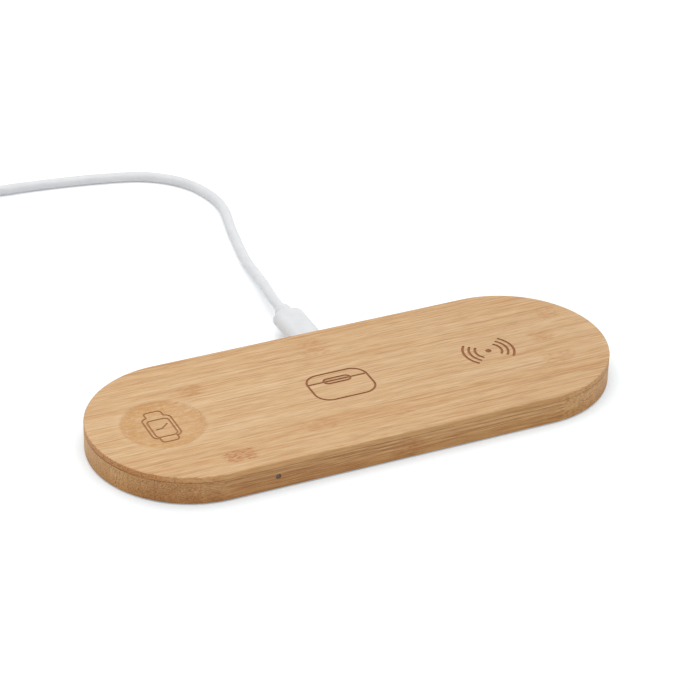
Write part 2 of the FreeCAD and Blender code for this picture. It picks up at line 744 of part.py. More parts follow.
def socket_contacts():
    front = tongue_front - CONTACT_WIDTH
    strips = []
    for low in (plug_z + TONGUE_THICKNESS / 2, plug_z - TONGUE_THICKNESS / 2 - CONTACT_THICKNESS):
        for number in range(CONTACT_COUNT):
            left = (number - (CONTACT_COUNT - 1) / 2) * CONTACT_PITCH - CONTACT_WIDTH / 2
            right = left + CONTACT_WIDTH
            strips.append(block(left, right, front - CONTACT_LENGTH, front, low, low + CONTACT_THICKNESS))
    return Part.makeCompound(strips)


# Near plug: steel shell, plastic insert with a slot for the tongue, and the moulded grip with its neck

def neck(start, end, z):
    taper_start = end - NECK_TAPER
    shoulder = Vector(NECK_RADIUS, taper_start, z)
    lip = Vector(NECK_END_RADIUS, end, z)
    corners = [lip, Vector(0, end, z), Vector(0, start, z), Vector(NECK_RADIUS, start, z), shoulder]
    edges = [Part.LineSegment(a, b).toShape() for a, b in zip(corners, corners[1:])]
    edges.append(arc_edge(shoulder, BACKWARD, lip))
    return Part.Face(Part.Wire(edges)).revolve(Vector(0, 0, z), BACKWARD, 360)


def plug_shell():
    outer = capsule(PLUG_WIDTH, PLUG_HEIGHT, plug_tip, mould_front, plug_z)
    inner_width = PLUG_WIDTH - 2 * PLUG_WALL
    inner_height = PLUG_HEIGHT - 2 * PLUG_WALL
    return outer.cut(capsule(inner_width, inner_height, plug_tip - OVERRUN, mould_front + OVERRUN, plug_z))


def plug_insert():
    inset = 2 * (PLUG_WALL + PLUG_FIT)
    body = capsule(PLUG_WIDTH - inset, PLUG_HEIGHT - inset, plug_tip, mould_front, plug_z)
    half_width = PLUG_SLOT_WIDTH / 2
    slot_end = tongue_front + PLUG_TIP_GAP
    low = plug_z - PLUG_SLOT_HEIGHT / 2
    high = plug_z + PLUG_SLOT_HEIGHT / 2
    return body.cut(block(-half_width, half_width, plug_tip - OVERRUN, slot_end, low, high))


def plug_grip():
    grip = capsule(MOULD_WIDTH, MOULD_HEIGHT, mould_front, mould_back, plug_z)
    grip = grip.makeFillet(MOULD_BACK_ROUND, edges_at(grip, 1, mould_back))
    grip = grip.makeFillet(MOULD_FRONT_ROUND, edges_at(grip, 1, mould_front))
    return joined([grip, neck(mould_back - MOULD_BACK_ROUND, neck_end, plug_z)])


# Cord: the free stretch, then the put-away coil that ends at the far plug

def cord_points():
    exit_point = Vector(0, neck_end, plug_z)
    coil_start = Vector(COIL_X + CORD_DIAMETER, COIL_Y + loop_start_radius, loop_low)
    middle = [Vector(*point) for point in CORD_ROUTE]
    ends = [coil_start + ACROSS * CORD_LAST_RUN, coil_start]
    return [exit_point, exit_point + BACKWARD * CORD_STRAIGHT] + middle + ends


def cord_reach(before, after):
    return CORD_BEND_SHARE * min(before.Length, after.Length)


def loop_radius(quarter):
    return LOOP_INNER_RADIUS + LOOP_STEP * abs(quarter - LOOP_QUARTERS_IN) / 4


def loop_node(quarter):
    angle = math.radians(90 + 90 * quarter)
    outward = Vector(math.cos(angle), math.sin(angle), 0)
    radius = loop_radius(quarter)
    side = (quarter > LOOP_QUARTERS_IN) - (quarter < LOOP_QUARTERS_IN)
    height = loop_low + LOOP_STEP * (1 + side) / 2
    heading = UP.cross(outward)
    if side == 0:
        heading = heading + UP * (2 * LOOP_STEP / (math.pi * radius))
    elif 0 < quarter < LOOP_QUARTERS_IN + LOOP_QUARTERS_OUT:
        heading = heading + outward * (side * LOOP_STEP / (2 * math.pi * radius))
    return Vector(COIL_X, COIL_Y, height) + outward * radius, heading.normalize()


def coil_path():
    nodes = [loop_node(quarter) for quarter in range(LOOP_QUARTERS_IN + LOOP_QUARTERS_OUT + 1)]
    first, heading = nodes[0]
    edges = [Part.LineSegment(first - heading * CORD_DIAMETER, first).toShape()]
    for (start, leaving), (end, arriving) in zip(nodes, nodes[1:]):
        edges += biarc(start, leaving, end, arriving)
    last, heading = nodes[-1]
    foot_of_tail = last + heading * LOOP_TAIL_RUN + UP * (far_z - loop_high)
    edges += biarc(last, heading, foot_of_tail, heading)
    edges.append(Part.LineSegment(foot_of_tail, foot_of_tail + heading * CORD_DIAMETER).toShape())
    return edges


def cord_tie():
    quarters = range(3, LOOP_QUARTERS_IN + LOOP_QUARTERS_OUT, 4)
    crossings = [loop_radius(quarter) for quarter in quarters]
    reach = CORD_DIAMETER / 2 + TIE_SIDE_GAP
    inside_width = max(crossings) - min(crossings) + 2 * reach
    inside_height = LOOP_STEP + CORD_DIAMETER + 2 * TIE_GAP
    centre_x = COIL_X + (max(crossings) + min(crossings)) / 2
    centre_z = (loop_low + loop_high) / 2
    start = COIL_Y - TIE_WIDTH / 2
    extra = 2 * TIE_THICKNESS
    outer_round = TIE_ROUND + TIE_THICKNESS
    outer = plate(0, 0, inside_width + extra, inside_height + extra, outer_round, 0, TIE_WIDTH)
    inner = plate(0, 0, inside_width, inside_height, TIE_ROUND, -OVERRUN, TIE_WIDTH + OVERRUN)
    return lay_back(outer.cut(inner), centre_x, start, centre_z)


# Far plug, made along +Y from the cord's end at the origin, then turned to lie along -Y

def far_plug():
    mould_start = NECK_LENGTH
    mould_end = mould_start + FAR_MOULD_LENGTH
    tip = mould_end + FAR_SHELL_LENGTH
    grip = plate(0, 0, FAR_MOULD_WIDTH, FAR_MOULD_HEIGHT, FAR_MOULD_CORNER, 0, FAR_MOULD_LENGTH)
    rims = edges_at(grip, 2, 0) + edges_at(grip, 2, FAR_MOULD_LENGTH)
    grip = lay_back(grip.makeFillet(FAR_MOULD_ROUND, rims), 0, mould_start, 0)
    neck_reach = NECK_LENGTH + FAR_MOULD_ROUND
    back_neck = neck(0, neck_reach, 0).mirror(BACKWARD * (neck_reach / 2), BACKWARD)
    shell = plate(0, 0, FAR_SHELL_WIDTH, FAR_SHELL_HEIGHT, FAR_SHELL_CORNER, 0, FAR_SHELL_LENGTH)
    inside_width = FAR_SHELL_WIDTH - 2 * FAR_SHELL_WALL
    inside_height = FAR_SHELL_HEIGHT - 2 * FAR_SHELL_WALL
    inside_corner = FAR_SHELL_CORNER / 2
    inside = plate(0, 0, inside_width, inside_height, inside_corner, -OVERRUN, FAR_SHELL_LENGTH + OVERRUN)
    shell = lay_back(shell.cut(inside), 0, mould_end, 0)
    window_y = tip - FAR_WINDOW_SETBACK
    half_window = FAR_WINDOW_SIDE / 2
    for side in (-1, 1):
        x = side * FAR_WINDOW_SPREAD / 2
        window = block(x - half_window, x + half_window, window_y - half_window, window_y + half_window,
                       0, FAR_SHELL_HEIGHT)
        shell = shell.cut(window)
    insert_width = inside_width - 2 * FAR_INSERT_FIT
    insert_length = FAR_SHELL_LENGTH - FAR_INSERT_SETBACK
    insert = plate(0, 0, insert_width, FAR_INSERT_HEIGHT, inside_corner, 0, insert_length)
    ledge = FAR_INSERT_FIT - inside_height / 2 + FAR_INSERT_HEIGHT
    insert = lay_back(insert, 0, mould_end, ledge - FAR_INSERT_HEIGHT / 2)
    insert_tip = mould_end + insert_length
    contact_tip = insert_tip - FAR_CONTACT_WIDTH
    contacts = []
    for share in FAR_CONTACT_PLACE_SHARES:
        left = share * inside_width - FAR_CONTACT_WIDTH / 2
        right = left + FAR_CONTACT_WIDTH
        contacts.append(block(left, right, contact_tip - FAR_CONTACT_LENGTH, contact_tip, ledge,
                              ledge + FAR_CONTACT_THICKNESS))
    made = {
        "far_plug_grip": joined([grip, back_neck]),
        "far_plug_shell": shell,
        "far_plug_insert": insert,
        "far_plug_contacts": Part.makeCompound(contacts),
    }
    cord_end = coil_edges[-1].valueAt(coil_edges[-1].LastParameter)
    for name, shape in made.items():
        shape.rotate(HERE, UP, 180)
        shape.translate(cord_end)
        pieces[name] = shape


# Places that depend on the coils, the socket and the plugs

watch_sizes = coil_sizes(WATCH_COIL_INNER, WATCH_COIL_TURNS)
earbuds_sizes = coil_sizes(EARBUDS_COIL_INNER, EARBUDS_COIL_TURNS)
phone_sizes = phone_coil_sizes()
board_left = watch_x + watch_sizes["carrier"] + BOARD_GAP
board_right = earbuds_x - earbuds_sizes["carrier"] - BOARD_GAP
leg_left = earbuds_x + earbuds_sizes["carrier"] + BOARD_GAP
leg_right = phone_x - phone_sizes["carrier"] - BOARD_GAP
leg_front = -phone_sizes["inner"] - BOARD_LEG_MARGIN
board_screw_tip = board_bottom - BOARD_SCREW_BITE_SHARE * (board_bottom - frame_bottom)
socket_rear = back_y - SOCKET_LENGTH
tongue_front = back_y - TONGUE_SETBACK
plug_tip = socket_rear + SOCKET_BLOCK + PLUG_TIP_GAP
mould_front = back_y + MOULD_GAP
mould_back = mould_front + MOULD_LENGTH
neck_end = mould_back + NECK_LENGTH
far_z = FAR_MOULD_HEIGHT / 2

# All pieces

pieces["top_board"] = top_board()
pieces["bamboo_frame"] = bamboo_frame()
pieces["bottom_cover"] = bottom_cover()
pieces["cover_screws"] = Part.makeCompound([cover_screw(x, y) for x, y in cover_screw_places()])
for place, (x, y) in foot_places().items():
    pieces["foot_" + place] = foot(x, y)
coil_stack("watch", watch_x, watch_sizes, board_left + BOARD_PAD_INSET, MAGNET_RADIUS + MAGNET_GAP)
coil_stack("earbuds", earbuds_x, earbuds_sizes, board_right - BOARD_PAD_INSET, 0)
coil_stack("phone", phone_x, phone_sizes, leg_right - BOARD_PAD_INSET, 0)
pieces["watch_magnet"] = disc(watch_x, 0, MAGNET_RADIUS, carrier_top, carrier_top + MAGNET_HEIGHT)
pieces["main_board"] = main_board()
pieces["board_screws"] = Part.makeCompound([board_screw(x, y) for x, y in board_screw_places()])
board_parts()
pieces["status_led"] = status_led()
pieces["light_pipe"] = light_pipe()
pieces["socket_shell"] = socket_shell()
pieces["socket_tongue"] = socket_tongue()
pieces["socket_contacts"] = socket_contacts()
pieces["plug_shell"] = plug_shell()
pieces["plug_insert"] = plug_insert()
pieces["plug_grip"] = plug_grip()

cord_edges = rounded_path(cord_points(), cord_reach)
pieces["cord_run"] = tube(cord_edges, CORD_DIAMETER)
print_tube("cord_run", cord_edges, pieces["cord_run"], CORD_DIAMETER)
coil_edges = coil_path()
pieces["cord_coil"] = tube(coil_edges, CORD_DIAMETER)
print_tube("cord_coil", coil_edges, pieces["cord_coil"], CORD_DIAMETER)
print_least_gap("cord_coil", coil_edges, CORD_DIAMETER)
pieces["cord_tie"] = cord_tie()
far_plug()

os.makedirs("parts", exist_ok=True)
for name, shape in pieces.items():
    solids = shape.Solids
    print(name, "solids", len(solids), "volume", round(shape.Volume, 2), "valid", shape.isValid())
    shape.exportStep(os.path.join("parts", name + ".step"))
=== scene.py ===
import bpy
import bmesh
import math
from mathutils import Matrix, Vector


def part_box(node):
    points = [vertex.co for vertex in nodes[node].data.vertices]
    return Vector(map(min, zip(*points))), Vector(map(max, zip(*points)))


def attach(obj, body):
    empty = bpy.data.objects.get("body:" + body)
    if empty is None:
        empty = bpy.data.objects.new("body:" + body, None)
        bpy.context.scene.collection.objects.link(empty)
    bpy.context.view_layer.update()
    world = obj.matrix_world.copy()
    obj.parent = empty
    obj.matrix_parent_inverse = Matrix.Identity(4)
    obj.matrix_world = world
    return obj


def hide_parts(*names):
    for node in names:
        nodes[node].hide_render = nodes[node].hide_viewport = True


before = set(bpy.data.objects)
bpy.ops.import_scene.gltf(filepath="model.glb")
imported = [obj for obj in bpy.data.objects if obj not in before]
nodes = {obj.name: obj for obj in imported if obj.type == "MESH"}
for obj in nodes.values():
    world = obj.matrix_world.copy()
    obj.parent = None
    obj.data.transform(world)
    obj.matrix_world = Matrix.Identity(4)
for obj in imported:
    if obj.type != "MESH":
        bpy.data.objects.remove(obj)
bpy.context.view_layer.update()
scene = bpy.context.scene


# Standpoint of the photograph: a long lens, above and in front of the pad's watch end, turned slightly about
# its own line of sight. It looks at a spot on the table behind the pad's middle.
view_azimuth = math.radians(-25.747)
view_elevation = math.radians(31.309)
view_roll = math.radians(1.644)
view_distance = 1.0237
view_target = Vector((0.01619, 0.03666, 0))
view_back = Vector((math.sin(view_azimuth) * math.cos(view_elevation),
                    -math.cos(view_azimuth) * math.cos(view_elevation),
                    math.sin(view_elevation)))
level_right = Vector((math.cos(view_azimuth), math.sin(view_azimuth), 0))
level_up = view_back.cross(level_right)
view_right = level_right * math.cos(view_roll) + level_up * math.sin(view_roll)
view_up = level_up * math.cos(view_roll) - level_right * math.sin(view_roll)
standpoint = Matrix((view_right, view_up, view_back)).transposed().to_4x4()
standpoint.translation = view_target + view_back * view_distance
lens = bpy.data.cameras.new("photo_lens")
lens.lens = 141.18
lens.sensor_width = 36
lens.clip_start = 0.05
lens.clip_end = 30
camera = bpy.data.objects.new("photo_camera", lens)
camera.matrix_world = standpoint
scene.collection.objects.link(camera)
scene.camera = camera
scene.view_settings.view_transform = "Standard"


# Top board: a sheet of bamboo strips glued side by side, sawn to a long round-ended shape and sanded round
# along its upper edge. A shallow dish for a watch is milled into it, and the marks over the charging spots
# are burnt in.
pad_length = 0.2
pad_width = 0.075
edge_round = 0.0005
joint_bevel = 0.00012
end_steps = 64
edge_steps = 8
hard_edge = 30
board_low, board_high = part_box("top_board")
pad_top = board_high.z
watch_x = -0.073
earbuds_x = -0.0047
phone_x = 0.0547


def bend(steps, start=0, end=90):
    return [math.radians(start + (end - start) * step / steps) for step in range(steps + 1)]


def pad_ring(length, width, z):
    radius = width / 2
    straight = (length - width) / 2
    ring = []
    for side in (1, -1):
        for angle in bend(end_steps, -90, 90):
            ring.append((side * (straight + radius * math.cos(angle)), side * radius * math.sin(angle), z))
    return ring


def round_ring(x, y, radius, z, steps):
    angles = [2 * math.pi * step / steps for step in range(steps)]
    return [(x + radius * math.cos(angle), y + radius * math.sin(angle), z) for angle in angles]


def new_object(name, data):
    made = bpy.data.objects.new(name, data)
    scene.collection.objects.link(made)
    return made


def join_rows(shape, low, high):
    for index in range(len(low)):
        following = (index + 1) % len(low)
        shape.faces.new((low[index], low[following], high[following], high[index]))


def object_of(name, shape):
    bmesh.ops.recalc_face_normals(shape, faces=shape.faces)
    mesh = bpy.data.meshes.new(name)
    shape.to_mesh(mesh)
    shape.free()
    return new_object(name, mesh)


def skin_of_rings(name, rings):
    shape = bmesh.new()
    rows = [[shape.verts.new(place) for place in ring] for ring in rings]
    for low, high in zip(rows, rows[1:]):
        join_rows(shape, low, high)
    shape.faces.new(list(reversed(rows[0])))
    shape.faces.new(rows[-1])
    return object_of(name, shape)


def mesh_now(made):
    return bpy.data.meshes.new_from_object(made.evaluated_get(bpy.context.evaluated_depsgraph_get()))


def settle(made):
    mesh = mesh_now(made)
    made.modifiers.clear()
    made.data = mesh
    return made


def carve(made, cutters, operation="DIFFERENCE"):
    for cutter in cutters:
        cut = made.modifiers.new("carve", "BOOLEAN")
        cut.operation = operation
        cut.solver = "EXACT"
        cut.object = cutter
    settle(made)
    for cutter in cutters:
        bpy.data.objects.remove(cutter)


def soften(made, degrees):
    made.data.shade_smooth()
    made.data.set_sharp_from_angle(angle=math.radians(degrees))
    even = made.modifiers.new("even", "WEIGHTED_NORMAL")
    even.keep_sharp = True
    return settle(made)


def finish_piece(made, material, body, slot, *stands_for):
    made.data.materials.clear()
    made.data.materials.append(material)
    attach(made, body)
    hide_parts(*stands_for)
    return made


def round_over(low, high):
    profile = [(joint_bevel, low), (0, low + joint_bevel)]
    for angle in bend(edge_steps):
        profile.append((edge_round * (1 - math.cos(angle)), high - edge_round * (1 - math.sin(angle))))
    return [pad_ring(pad_length - 2 * inset, pad_width - 2 * inset, z) for inset, z in profile]


top_board = skin_of_rings("bamboo_top", round_over(board_low.z, pad_top))

# Watch dish: a coved hollow with a rounded lip. Its cutter stays a hair clear of the board's face at the lip
dish_radius = 0.0152
dish_cove = 0.0034
dish_depth = 0.001
dish_lip = 0.0012
dish_steps = 128
cove_steps = 14
lip_steps = 10
lip_clear = 0.000006
cutter_middle = 0.0002
cutter_flare = 0.0001
cutter_over = 0.001
dish_floor = pad_top - dish_depth
cove_radius = (dish_cove ** 2 + dish_depth ** 2) / (2 * dish_depth)
lip_reach = math.sqrt((cove_radius + dish_lip) ** 2 - (cove_radius - dish_depth + dish_lip) ** 2)
lip_turn = math.asin(lip_reach / (cove_radius + dish_lip))
cove_start = dish_radius - dish_cove
dish_profile = [(cutter_middle, dish_floor)]
for step in range(cove_steps + 1):
    turn = lip_turn * step / cove_steps
    rise = cove_radius * (1 - math.cos(turn))
    dish_profile.append((cove_start + cove_radius * math.sin(turn), dish_floor + rise))
for step in range(1, lip_steps + 1):
    turn = lip_turn * (1 - step / lip_steps)
    drop = dish_lip * (1 - math.cos(turn))
    dish_profile.append((cove_start + lip_reach - dish_lip * math.sin(turn), pad_top - drop + lip_clear))
dish_profile.append((cove_start + lip_reach + cutter_flare, pad_top + cutter_over))
dish_rings = [round_ring(watch_x, 0, radius, z, dish_steps) for radius, z in dish_profile]
carve(top_board, [skin_of_rings("dish_cutter", dish_rings)])

# Burnt marks: shallow grooves for a watch in the dish, an earbud case, and waves round a dot
mark_depth = 0.00025
watch_line_width = 0.00055
earbuds_line_width = 0.0007
wave_line_width = 0.00085
mitre_limit = 0.4
corner_steps = 8
cap_steps = 10
wave_steps = 20
dot_steps = 32
corner_turns = [(1, 1, 0), (-1, 1, 90), (-1, -1, 180), (1, -1, 270)]


def corner_arc(x, y, radius, start, end, steps=corner_steps):
    turns = bend(steps, start, end)
    return [Vector((x + radius * math.cos(turn), y + radius * math.sin(turn))) for turn in turns]


def round_box(x, y, width, height, corner):
    across = width / 2 - corner
    along = height / 2 - corner
    line = []
    for sx, sy, start in corner_turns:
        line += corner_arc(x + sx * across, y + sy * along, corner, start, start + 90)
    return line


def offset_line(points, closed, distance):
    moved = []
    count = len(points)
    for index, point in enumerate(points):
        runs = []
        if closed or index > 0:
            runs.append((point - points[index - 1]).normalized())
        if closed or index < count - 1:
            runs.append((points[(index + 1) % count] - point).normalized())
        sides = [Vector((run.y, -run.x)) for run in runs]
        middle = sum(sides, Vector((0, 0))).normalized()
        moved.append(point + middle * (distance / max(middle.dot(sides[0]), mitre_limit)))
    return moved


def line_cap(point, run, half):
    start = math.degrees(math.atan2(run.y, run.x)) - 90
    return corner_arc(point.x, point.y, half, start, start + 180, cap_steps)[1:-1]


def line_cutter(points, line_width, closed, low):
    half = line_width / 2
    right = offset_line(points, closed, half)
    left = offset_line(points, closed, -half)
    loops = [right, left]
    if not closed:
        far_cap = line_cap(points[-1], points[-1] - points[-2], half)
        near_cap = line_cap(points[0], points[0] - points[1], half)
        loops = [right + far_cap + list(reversed(left)) + near_cap]
    levels = (low, pad_top + cutter_over)
    shape = bmesh.new()
    rows = [[[shape.verts.new((*point, z)) for point in loop] for z in levels] for loop in loops]
    for below, above in rows:
        join_rows(shape, below, above)
    for level in range(len(levels)):
        if closed:
            join_rows(shape, rows[0][level], rows[1][level])
        else:
            shape.faces.new(rows[0][level])
    return object_of("mark_cutter", shape)


mark_aside = 0.0005
mark_x = watch_x - mark_aside
case_width, case_height, case_corner = 0.0106, 0.0137, 0.0022
strap_width, strap_height, strap_corner, strap_y = 0.0064, 0.0196, 0.0013, 0.00025
screen_width, screen_height, screen_corner, screen_y = 0.008, 0.011, 0.0016, -0.00065
case_box = (mark_x, 0, case_width, case_height, case_corner)
strap_box = (mark_x, strap_y, strap_width, strap_height, strap_corner)
screen_box = (mark_x, screen_y, screen_width, screen_height, screen_corner)
hand_shares = [(-0.28, -0.045), (-0.02, -0.04), (0.31, 0.175)]
hand_places = [(mark_x + across * screen_width, screen_y + along * screen_height)
               for across, along in hand_shares]
meeting = math.degrees(math.acos((strap_width / 2 - (case_width / 2 - case_corner)) / case_corner))
watch_line = []
for way in (1, -1):
    strap_reach = strap_height / 2 + way * strap_y
    quarter = corner_arc(case_width / 2 - case_corner, case_height / 2 - case_corner, case_corner, 0, meeting)
    quarter += corner_arc(strap_width / 2 - strap_corner, strap_reach - strap_corner, strap_corner, 0, 90)
    half_watch = quarter + [Vector((-point.x, point.y)) for point in reversed(quarter)]
    watch_line += [Vector((mark_x + way * point.x, way * point.y)) for point in half_watch]
earbuds_width, earbuds_height, earbuds_corner = 0.0232, 0.017, 0.0055
lid_height = 0.0051
lid_y = earbuds_height / 2 - lid_height
latch_width, latch_height, latch_flat = 0.0102, 0.0033, 0.00002
latch_line = 0.0084
earbuds_box = (earbuds_x, 0, earbuds_width, earbuds_height, earbuds_corner)
latch_box = (earbuds_x, lid_y, latch_width, latch_height, latch_height / 2 - latch_flat)
wave_radii = [0.005, 0.00725, 0.0095]
wave_angle = 41
dot_radius = 0.0011
watch_floor = dish_floor - mark_depth
mark_floor = pad_top - mark_depth
lid_clear = 0.000008
lid_floor = mark_floor + lid_clear
lid_lines = [((-latch_width, -earbuds_width), lid_floor), ((latch_width, earbuds_width), lid_floor),
             ((-latch_line, latch_line), mark_floor)]
marks = [
    (watch_line, watch_line_width, True, watch_floor),
    (round_box(*screen_box), watch_line_width, True, watch_floor),
    ([Vector(place) for place in hand_places], watch_line_width, False, watch_floor),
    (round_box(*earbuds_box), earbuds_line_width, True, mark_floor),
    (round_box(*latch_box), earbuds_line_width, True, mark_floor),
]
for ends, low in lid_lines:
    lid_line = [Vector((earbuds_x + end / 2, lid_y)) for end in ends]
    marks.append((lid_line, earbuds_line_width, False, low))
for radius in wave_radii:
    for facing in (0, 180):
        wave = corner_arc(phone_x, 0, radius, facing - wave_angle, facing + wave_angle, wave_steps)
        marks.append((wave, wave_line_width, False, mark_floor))
dot_rings = [round_ring(phone_x, 0, dot_radius, z, dot_steps) for z in (mark_floor, pad_top + cutter_over)]
carve(top_board, [line_cutter(*mark) for mark in marks] + [skin_of_rings("dot_cutter", dot_rings)])
soften(top_board, hard_edge)


# A colour of 0 to 255 as it shows on a screen, in the linear numbers that a shader takes
def tone(red, green, blue):
    channels = [value / 255 for value in (red, green, blue)]
    linear = [value / 12.92 if value <= 0.04045 else ((value + 0.055) / 1.055) ** 2.4 for value in channels]
    return (*linear, 1)


def link(value, socket):
    socket.id_data.links.new(value, socket)


# A new node in the tree that its inputs come from
def add(kind, inputs, **settings):
    sockets = [value for value in inputs.values() if isinstance(value, bpy.types.NodeSocket)]
    node = sockets[0].id_data.nodes.new(kind)
    for name, value in settings.items():
        setattr(node, name, value)
    for name, value in inputs.items():
        if value in sockets:
            link(value, node.inputs[name])
        else:
            node.inputs[name].default_value = value
    return node


def calc(operation, *values):
    return add("ShaderNodeMath", dict(enumerate(values)), operation=operation).outputs[0]


def times(first, second):
    return calc("MULTIPLY", first, second)


def vector(operation, *values):
    return add("ShaderNodeVectorMath", dict(enumerate(values)), operation=operation).outputs


def axes_of(place):
    return add("ShaderNodeSeparateXYZ", {0: place}).outputs


def joined(x, y, z=0.0):
    return add("ShaderNodeCombineXYZ", {0: x, 1: y, 2: z}).outputs[0]


def ramp(value, low, high, start=0.0, end=1.0):
    inputs = {"Value": value, "From Min": low, "From Max": high, "To Min": start, "To Max": end}
    return add("ShaderNodeMapRange", inputs, interpolation_type="SMOOTHSTEP").outputs[0]


def fade(value, low, high):
    return ramp(value, low, high, 1.0, 0.0)


def mix(share, first, second, kind="MIX"):
    inputs = {0: share, 6: first, 7: second}
    return add("ShaderNodeMix", inputs, data_type="RGBA", blend_type=kind).outputs[2]


def stretched_noise(place, stretch, detail, roughness=0.55):
    scaled = vector("MULTIPLY", place, stretch)[0]
    inputs = {"Vector": scaled, "Scale": 1.0, "Detail": detail, "Roughness": roughness}
    return add("ShaderNodeTexNoise", inputs).outputs[0]


# A noise has its middle at 0.5, so half of the amount goes to each side of the base
def varied(base, noise, amount):
    return calc("MULTIPLY_ADD", calc("SUBTRACT", noise, 0.5), amount, base)


def new_group(name, inputs, outputs):
    tree = bpy.data.node_groups.new(name, "ShaderNodeTree")
    for way, sockets in (("INPUT", inputs), ("OUTPUT", outputs)):
        for label, kind in sockets.items():
            tree.interface.new_socket(label, in_out=way, socket_type="NodeSocket" + kind)
    start = tree.nodes.new("NodeGroupInput")
    end = tree.nodes.new("NodeGroupOutput")
    return tree, start.outputs, end.inputs


def placed(group, **inputs):
    inputs = {name.replace("_", " "): value for name, value in inputs.items()}
    return add("ShaderNodeGroup", inputs, node_tree=group).outputs


# Patterns are measured in millimetres
mm = 1000


def empty_tree(owner):
    owner.use_nodes = True
    owner.node_tree.nodes.clear()
    return owner.node_tree.nodes


def object_place(tree_nodes):
    place = tree_nodes.new("ShaderNodeTexCoord").outputs
    return vector("MULTIPLY", place["Object"], (mm, mm, mm))[0], place["Normal"]


def new_material(name):
    material = bpy.data.materials.new(name)
    tree_nodes = empty_tree(material)
    shader = tree_nodes.new("ShaderNodeBsdfPrincipled")
    add("ShaderNodeOutputMaterial", {"Surface": shader.outputs["BSDF"]})
    place, normal = object_place(tree_nodes)
    return material, shader, place, normal


def surface(shader, colour, roughness, height, bump, depth):
    relief = add("ShaderNodeBump", {"Strength": bump, "Distance": depth, "Height": height}).outputs[0]
    for value, socket in ((colour, "Base Color"), (roughness, "Roughness"), (relief, "Normal")):
        link(value, shader.inputs[socket])


# Bamboo: strips with their own tone, straight fibres along X, and dark vessels that are specks on sawn ends
bamboo, bamboo_in, bamboo_out = new_group(
    "bamboo",
    {"Position": "Vector", "Facing": "Vector", "Strip Width": "Float", "Strip Start": "Float",
     "Seed": "Float", "Fineness": "Float", "Lines": "Float",
     "Light": "Color", "Middle": "Color", "Dark": "Color"},
    {"Color": "Color", "Roughness": "Float", "Height": "Float"})
grain = axes_of(bamboo_in["Position"])
strip = calc("SUBTRACT", grain["Y"], bamboo_in["Strip Start"])
strip = calc("DIVIDE", strip, bamboo_in["Strip Width"])
strip_number = calc("ADD", calc("FLOOR", strip), bamboo_in["Seed"])
strip_chance = add("ShaderNodeTexWhiteNoise", {"W": strip_number}, noise_dimensions="1D").outputs["Color"]
chance = add("ShaderNodeSeparateColor", {0: strip_chance}).outputs
strip_shift = (400.0, 60.0, 40.0)
sway_reach = 1.2
sway = stretched_noise(bamboo_in["Position"], stretch=(0.014, 0.05, 0.05), detail=1.0)
sway = times(calc("SUBTRACT", sway, 0.5), sway_reach)
fibre_side = times(calc("ADD", grain["Y"], sway), bamboo_in["Fineness"])
fibre_up = times(grain["Z"], bamboo_in["Fineness"])
fibre_axes = [calc("MULTIPLY_ADD", chance[axis], strip_shift[axis], distance)
              for axis, distance in enumerate((grain["X"], fibre_side, fibre_up))]
fibre_place = joined(*fibre_axes)
bands = stretched_noise(fibre_place, stretch=(0.012, 0.28, 0.28), detail=2.0)
streaks = stretched_noise(fibre_place, stretch=(0.025, 1.35, 1.35), detail=3.0, roughness=0.6)
fibres = stretched_noise(fibre_place, stretch=(0.09, 2.9, 2.9), detail=3.0, roughness=0.7)
dark_lines = stretched_noise(fibre_place, stretch=(0.022, 1.8, 1.8), detail=1.0)
vessels = stretched_noise(bamboo_in["Position"], stretch=(0.15, 3.0, 3.0), detail=0.0)
level = varied(0.5, bands, amount=0.55)
level = varied(level, ramp(streaks, 0.34, 0.66), amount=0.31)
level = varied(level, fibres, amount=1.6)
end_level = 0.46
end_evening = 0.65
end_cut = ramp(calc("ABSOLUTE", axes_of(bamboo_in["Facing"])["X"]), 0.25, 0.85)
evening = calc("SUBTRACT", end_level, level)
evening = times(evening, times(end_cut, end_evening))
level = calc("ADD", level, evening)
level = varied(level, chance[1], amount=0.3)
wood = mix(ramp(level, 0.12, 0.52), bamboo_in["Dark"], bamboo_in["Middle"])
wood = mix(ramp(level, 0.5, 0.9), wood, bamboo_in["Light"])
line_share = times(ramp(dark_lines, 0.6, 0.7), bamboo_in["Lines"])
line_brown = tone(176, 122, 72)
wood = mix(line_share, wood, line_brown)
vessel_share, vessel_share_end = 0.2, 0.55
vessel_brown = tone(150, 98, 56)
vessel_shown = calc("MULTIPLY_ADD", end_cut, vessel_share_end, vessel_share)
vessel_dark = times(ramp(vessels, 0.53, 0.64), vessel_shown)
wood = mix(vessel_dark, wood, vessel_brown)
seam_share, seam_share_end = 0.12, 0.35
seam_brown = tone(140, 92, 54)
within = calc("FRACT", strip)
to_edge = calc("MINIMUM", within, calc("SUBTRACT", 1.0, within))
to_edge = times(to_edge, bamboo_in["Strip Width"])
seam_shown = calc("MULTIPLY_ADD", end_cut, seam_share_end, seam_share)
seam = times(fade(to_edge, 0.02, 0.16), seam_shown)
wood = mix(seam, wood, seam_brown)
fibre_height = 0.6
bamboo_height = calc("SUBTRACT", times(fibres, fibre_height), vessel_dark)
link(wood, bamboo_out["Color"])
link(varied(0.55, fibres, amount=0.3), bamboo_out["Roughness"])
link(bamboo_height, bamboo_out["Height"])

